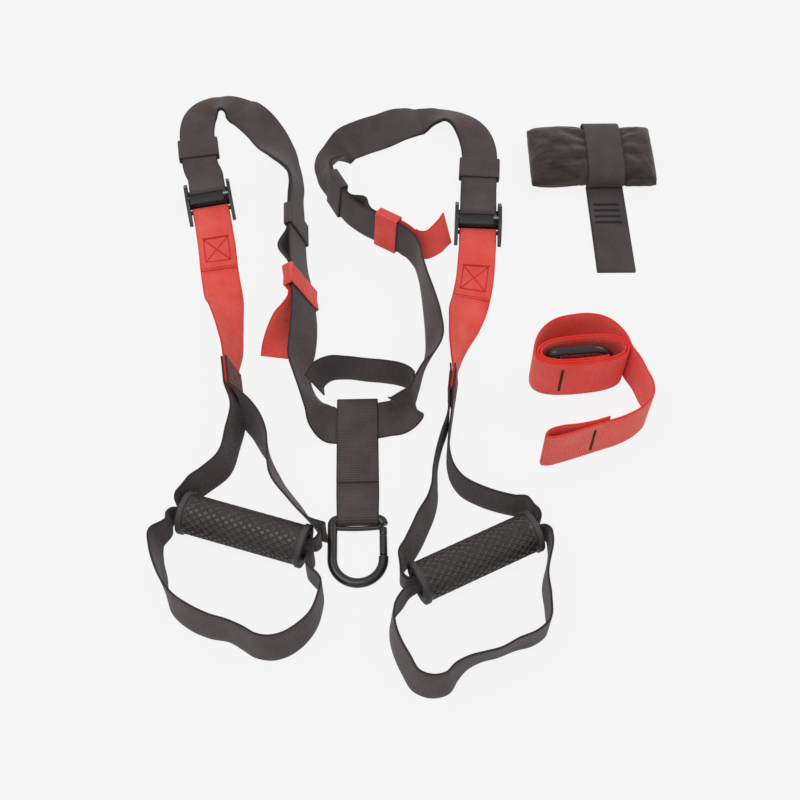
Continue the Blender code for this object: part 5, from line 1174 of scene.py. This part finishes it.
# the object
make_anchor()
make_equalizer()
tilt = math.asin((HOOK_HEIGHT - ROD_R) / (HOOK_LEN - 2 * ROD_R))
hook_place = placed(*ANCHOR_SHARES[:2], HOOK_HEIGHT, ANCHOR_SHARES[2]) @ Matrix.Rotation(tilt, 4, 'X')
make_carabiner("carabiner", hook_place, "carabiner", "carabiner_gate")
stand = (placed(*COIL_SHARES[:2], HOOK_W / 2, COIL_SHARES[2] + 180)
         @ Matrix.Translation((HOOK_LEN / 2 - ROD_R, 0, 0)) @ Matrix.Rotation(-math.pi / 2, 4, 'Z')
         @ Matrix.Rotation(math.pi / 2, 4, 'Y'))
make_carabiner("extension_carabiner", stand, "extension_carabiner", "extension_gate")
for side in ("left", "right"):
    main = make_main_side(side)
    lower, upper = make_lower(side)
    west, east = make_handle(side, lower)
    make_foot_loop(side)
    make_grip(side)
    softened("buckle_frame_" + side, "buckle_body_" + side, NYLON, "root")
    softened("cam_lever_" + side, "buckle_lever_" + side, NYLON, "cam_lever_" + side,
             0.25 * MM)
    from_buckle = upper.reversed()
    above = 1 if from_buckle.n[-1, 2] > 0 else -1
    box_stitch("box_stitch_" + side, from_buckle, from_buckle.length() - BOX_FROM_END, BOX_LEN, BOX_HALF,
               above, BOX_GAUGE)
    end_row = tuple(on_face(upper, ROW_FROM_END, x, -above)[0] for x in (-ROW_HALF, ROW_HALF))
    thread("flap_end_row_" + side, [end_row], UP, *SEWING, pitch=ROW_PITCH)
    for word, layer in (("west", west), ("east", east)):
        box_stitch(f"lap_stitch_{side}_{word}", layer, LAP_BOX_START, LAP_BOX_LEN, LAP_BOX_HALF, 1,
                   head=False)
    mark = walked(main.c)[main.near(*TACK_PLACE_SHARES[side])]
    box_stitch("tack_" + side, main, mark, MARK_LEN, MARK_HALF, -SIDE_SIGN[side], MARK_GAUGE, cross=False,
               head=False)
make_door_anchor()
make_extension()
for node in ("cam_pin_left", "cam_pin_right", "cam_spring_left", "cam_spring_right", "carabiner_gate_spring",
             "extension_carabiner_gate_spring"):
    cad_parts[node].data.materials.clear()
    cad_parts[node].data.materials.append(STEEL)

# floor, light and camera
FLOOR_REACH, FLOOR_GLOW = 30.0, 0.93
LAMPS = (("soft top light", (-0.5, -0.2, 1.7), 1.1, 9.0), ("soft side light", (1.3, 0.9, 1.1), 0.8, 3.5))
CAMERA_PLACE, CAMERA_DOWN = (0.0, -0.5664, 0.8722), 57.0
floor_mesh = bpy.data.meshes.new("studio floor")
corners = [(FLOOR_REACH * i, FLOOR_REACH * j, 0) for i, j in ((-1, -1), (1, -1), (1, 1), (-1, 1))]
floor_mesh.from_pydata(corners, [], [(0, 1, 2, 3)])
floor = linked("studio_floor", floor_mesh)
paper, tree, shader = finish("pale paper floor", Roughness=0.9, Specular_IOR_Level=0.1)
shader.inputs["Base Color"].default_value = linear("#f3f3f3")
glow = add(tree, "ShaderNodeEmission", {"Color": linear("#f7f7f7"), "Strength": 1.0})
rays = add(tree, "ShaderNodeLightPath")
seen = maths(tree, "MAXIMUM", rays.outputs["Is Camera Ray"], rays.outputs["Is Glossy Ray"])
share = maths(tree, "MULTIPLY", seen, FLOOR_GLOW)
mixed = add(tree, "ShaderNodeMixShader", {0: share, 1: shader.outputs[0], 2: glow.outputs[0]})
tree.links.new(mixed.outputs[0], tree.nodes["Material Output"].inputs["Surface"])
floor_mesh.materials.append(paper)

world = bpy.data.worlds.new("soft studio")
world.use_nodes = True
bpy.context.scene.world = world
back = world.node_tree.nodes["Background"]
back.inputs["Color"].default_value = linear("#fbfbfb")
back.inputs["Strength"].default_value = 0.62
for name, place, size, power in LAMPS:
    lamp = bpy.data.lights.new(name, "AREA")
    lamp.size, lamp.energy = size, power
    holder = linked(name.replace(" ", "_"), lamp)
    holder.location = place
    holder.rotation_euler = (-Vector(place)).to_track_quat('-Z', 'Y').to_euler()

camera = bpy.data.cameras.new("camera")
camera.lens, camera.sensor_width = 50.0, 36.0
eye = linked("camera", camera)
eye.location = Vector(SHIFT) + Vector(CAMERA_PLACE)
eye.rotation_euler = (math.radians(90 - CAMERA_DOWN), 0.0, 0.0)
bpy.context.scene.camera = eye
bpy.context.scene.view_settings.view_transform = "Standard"
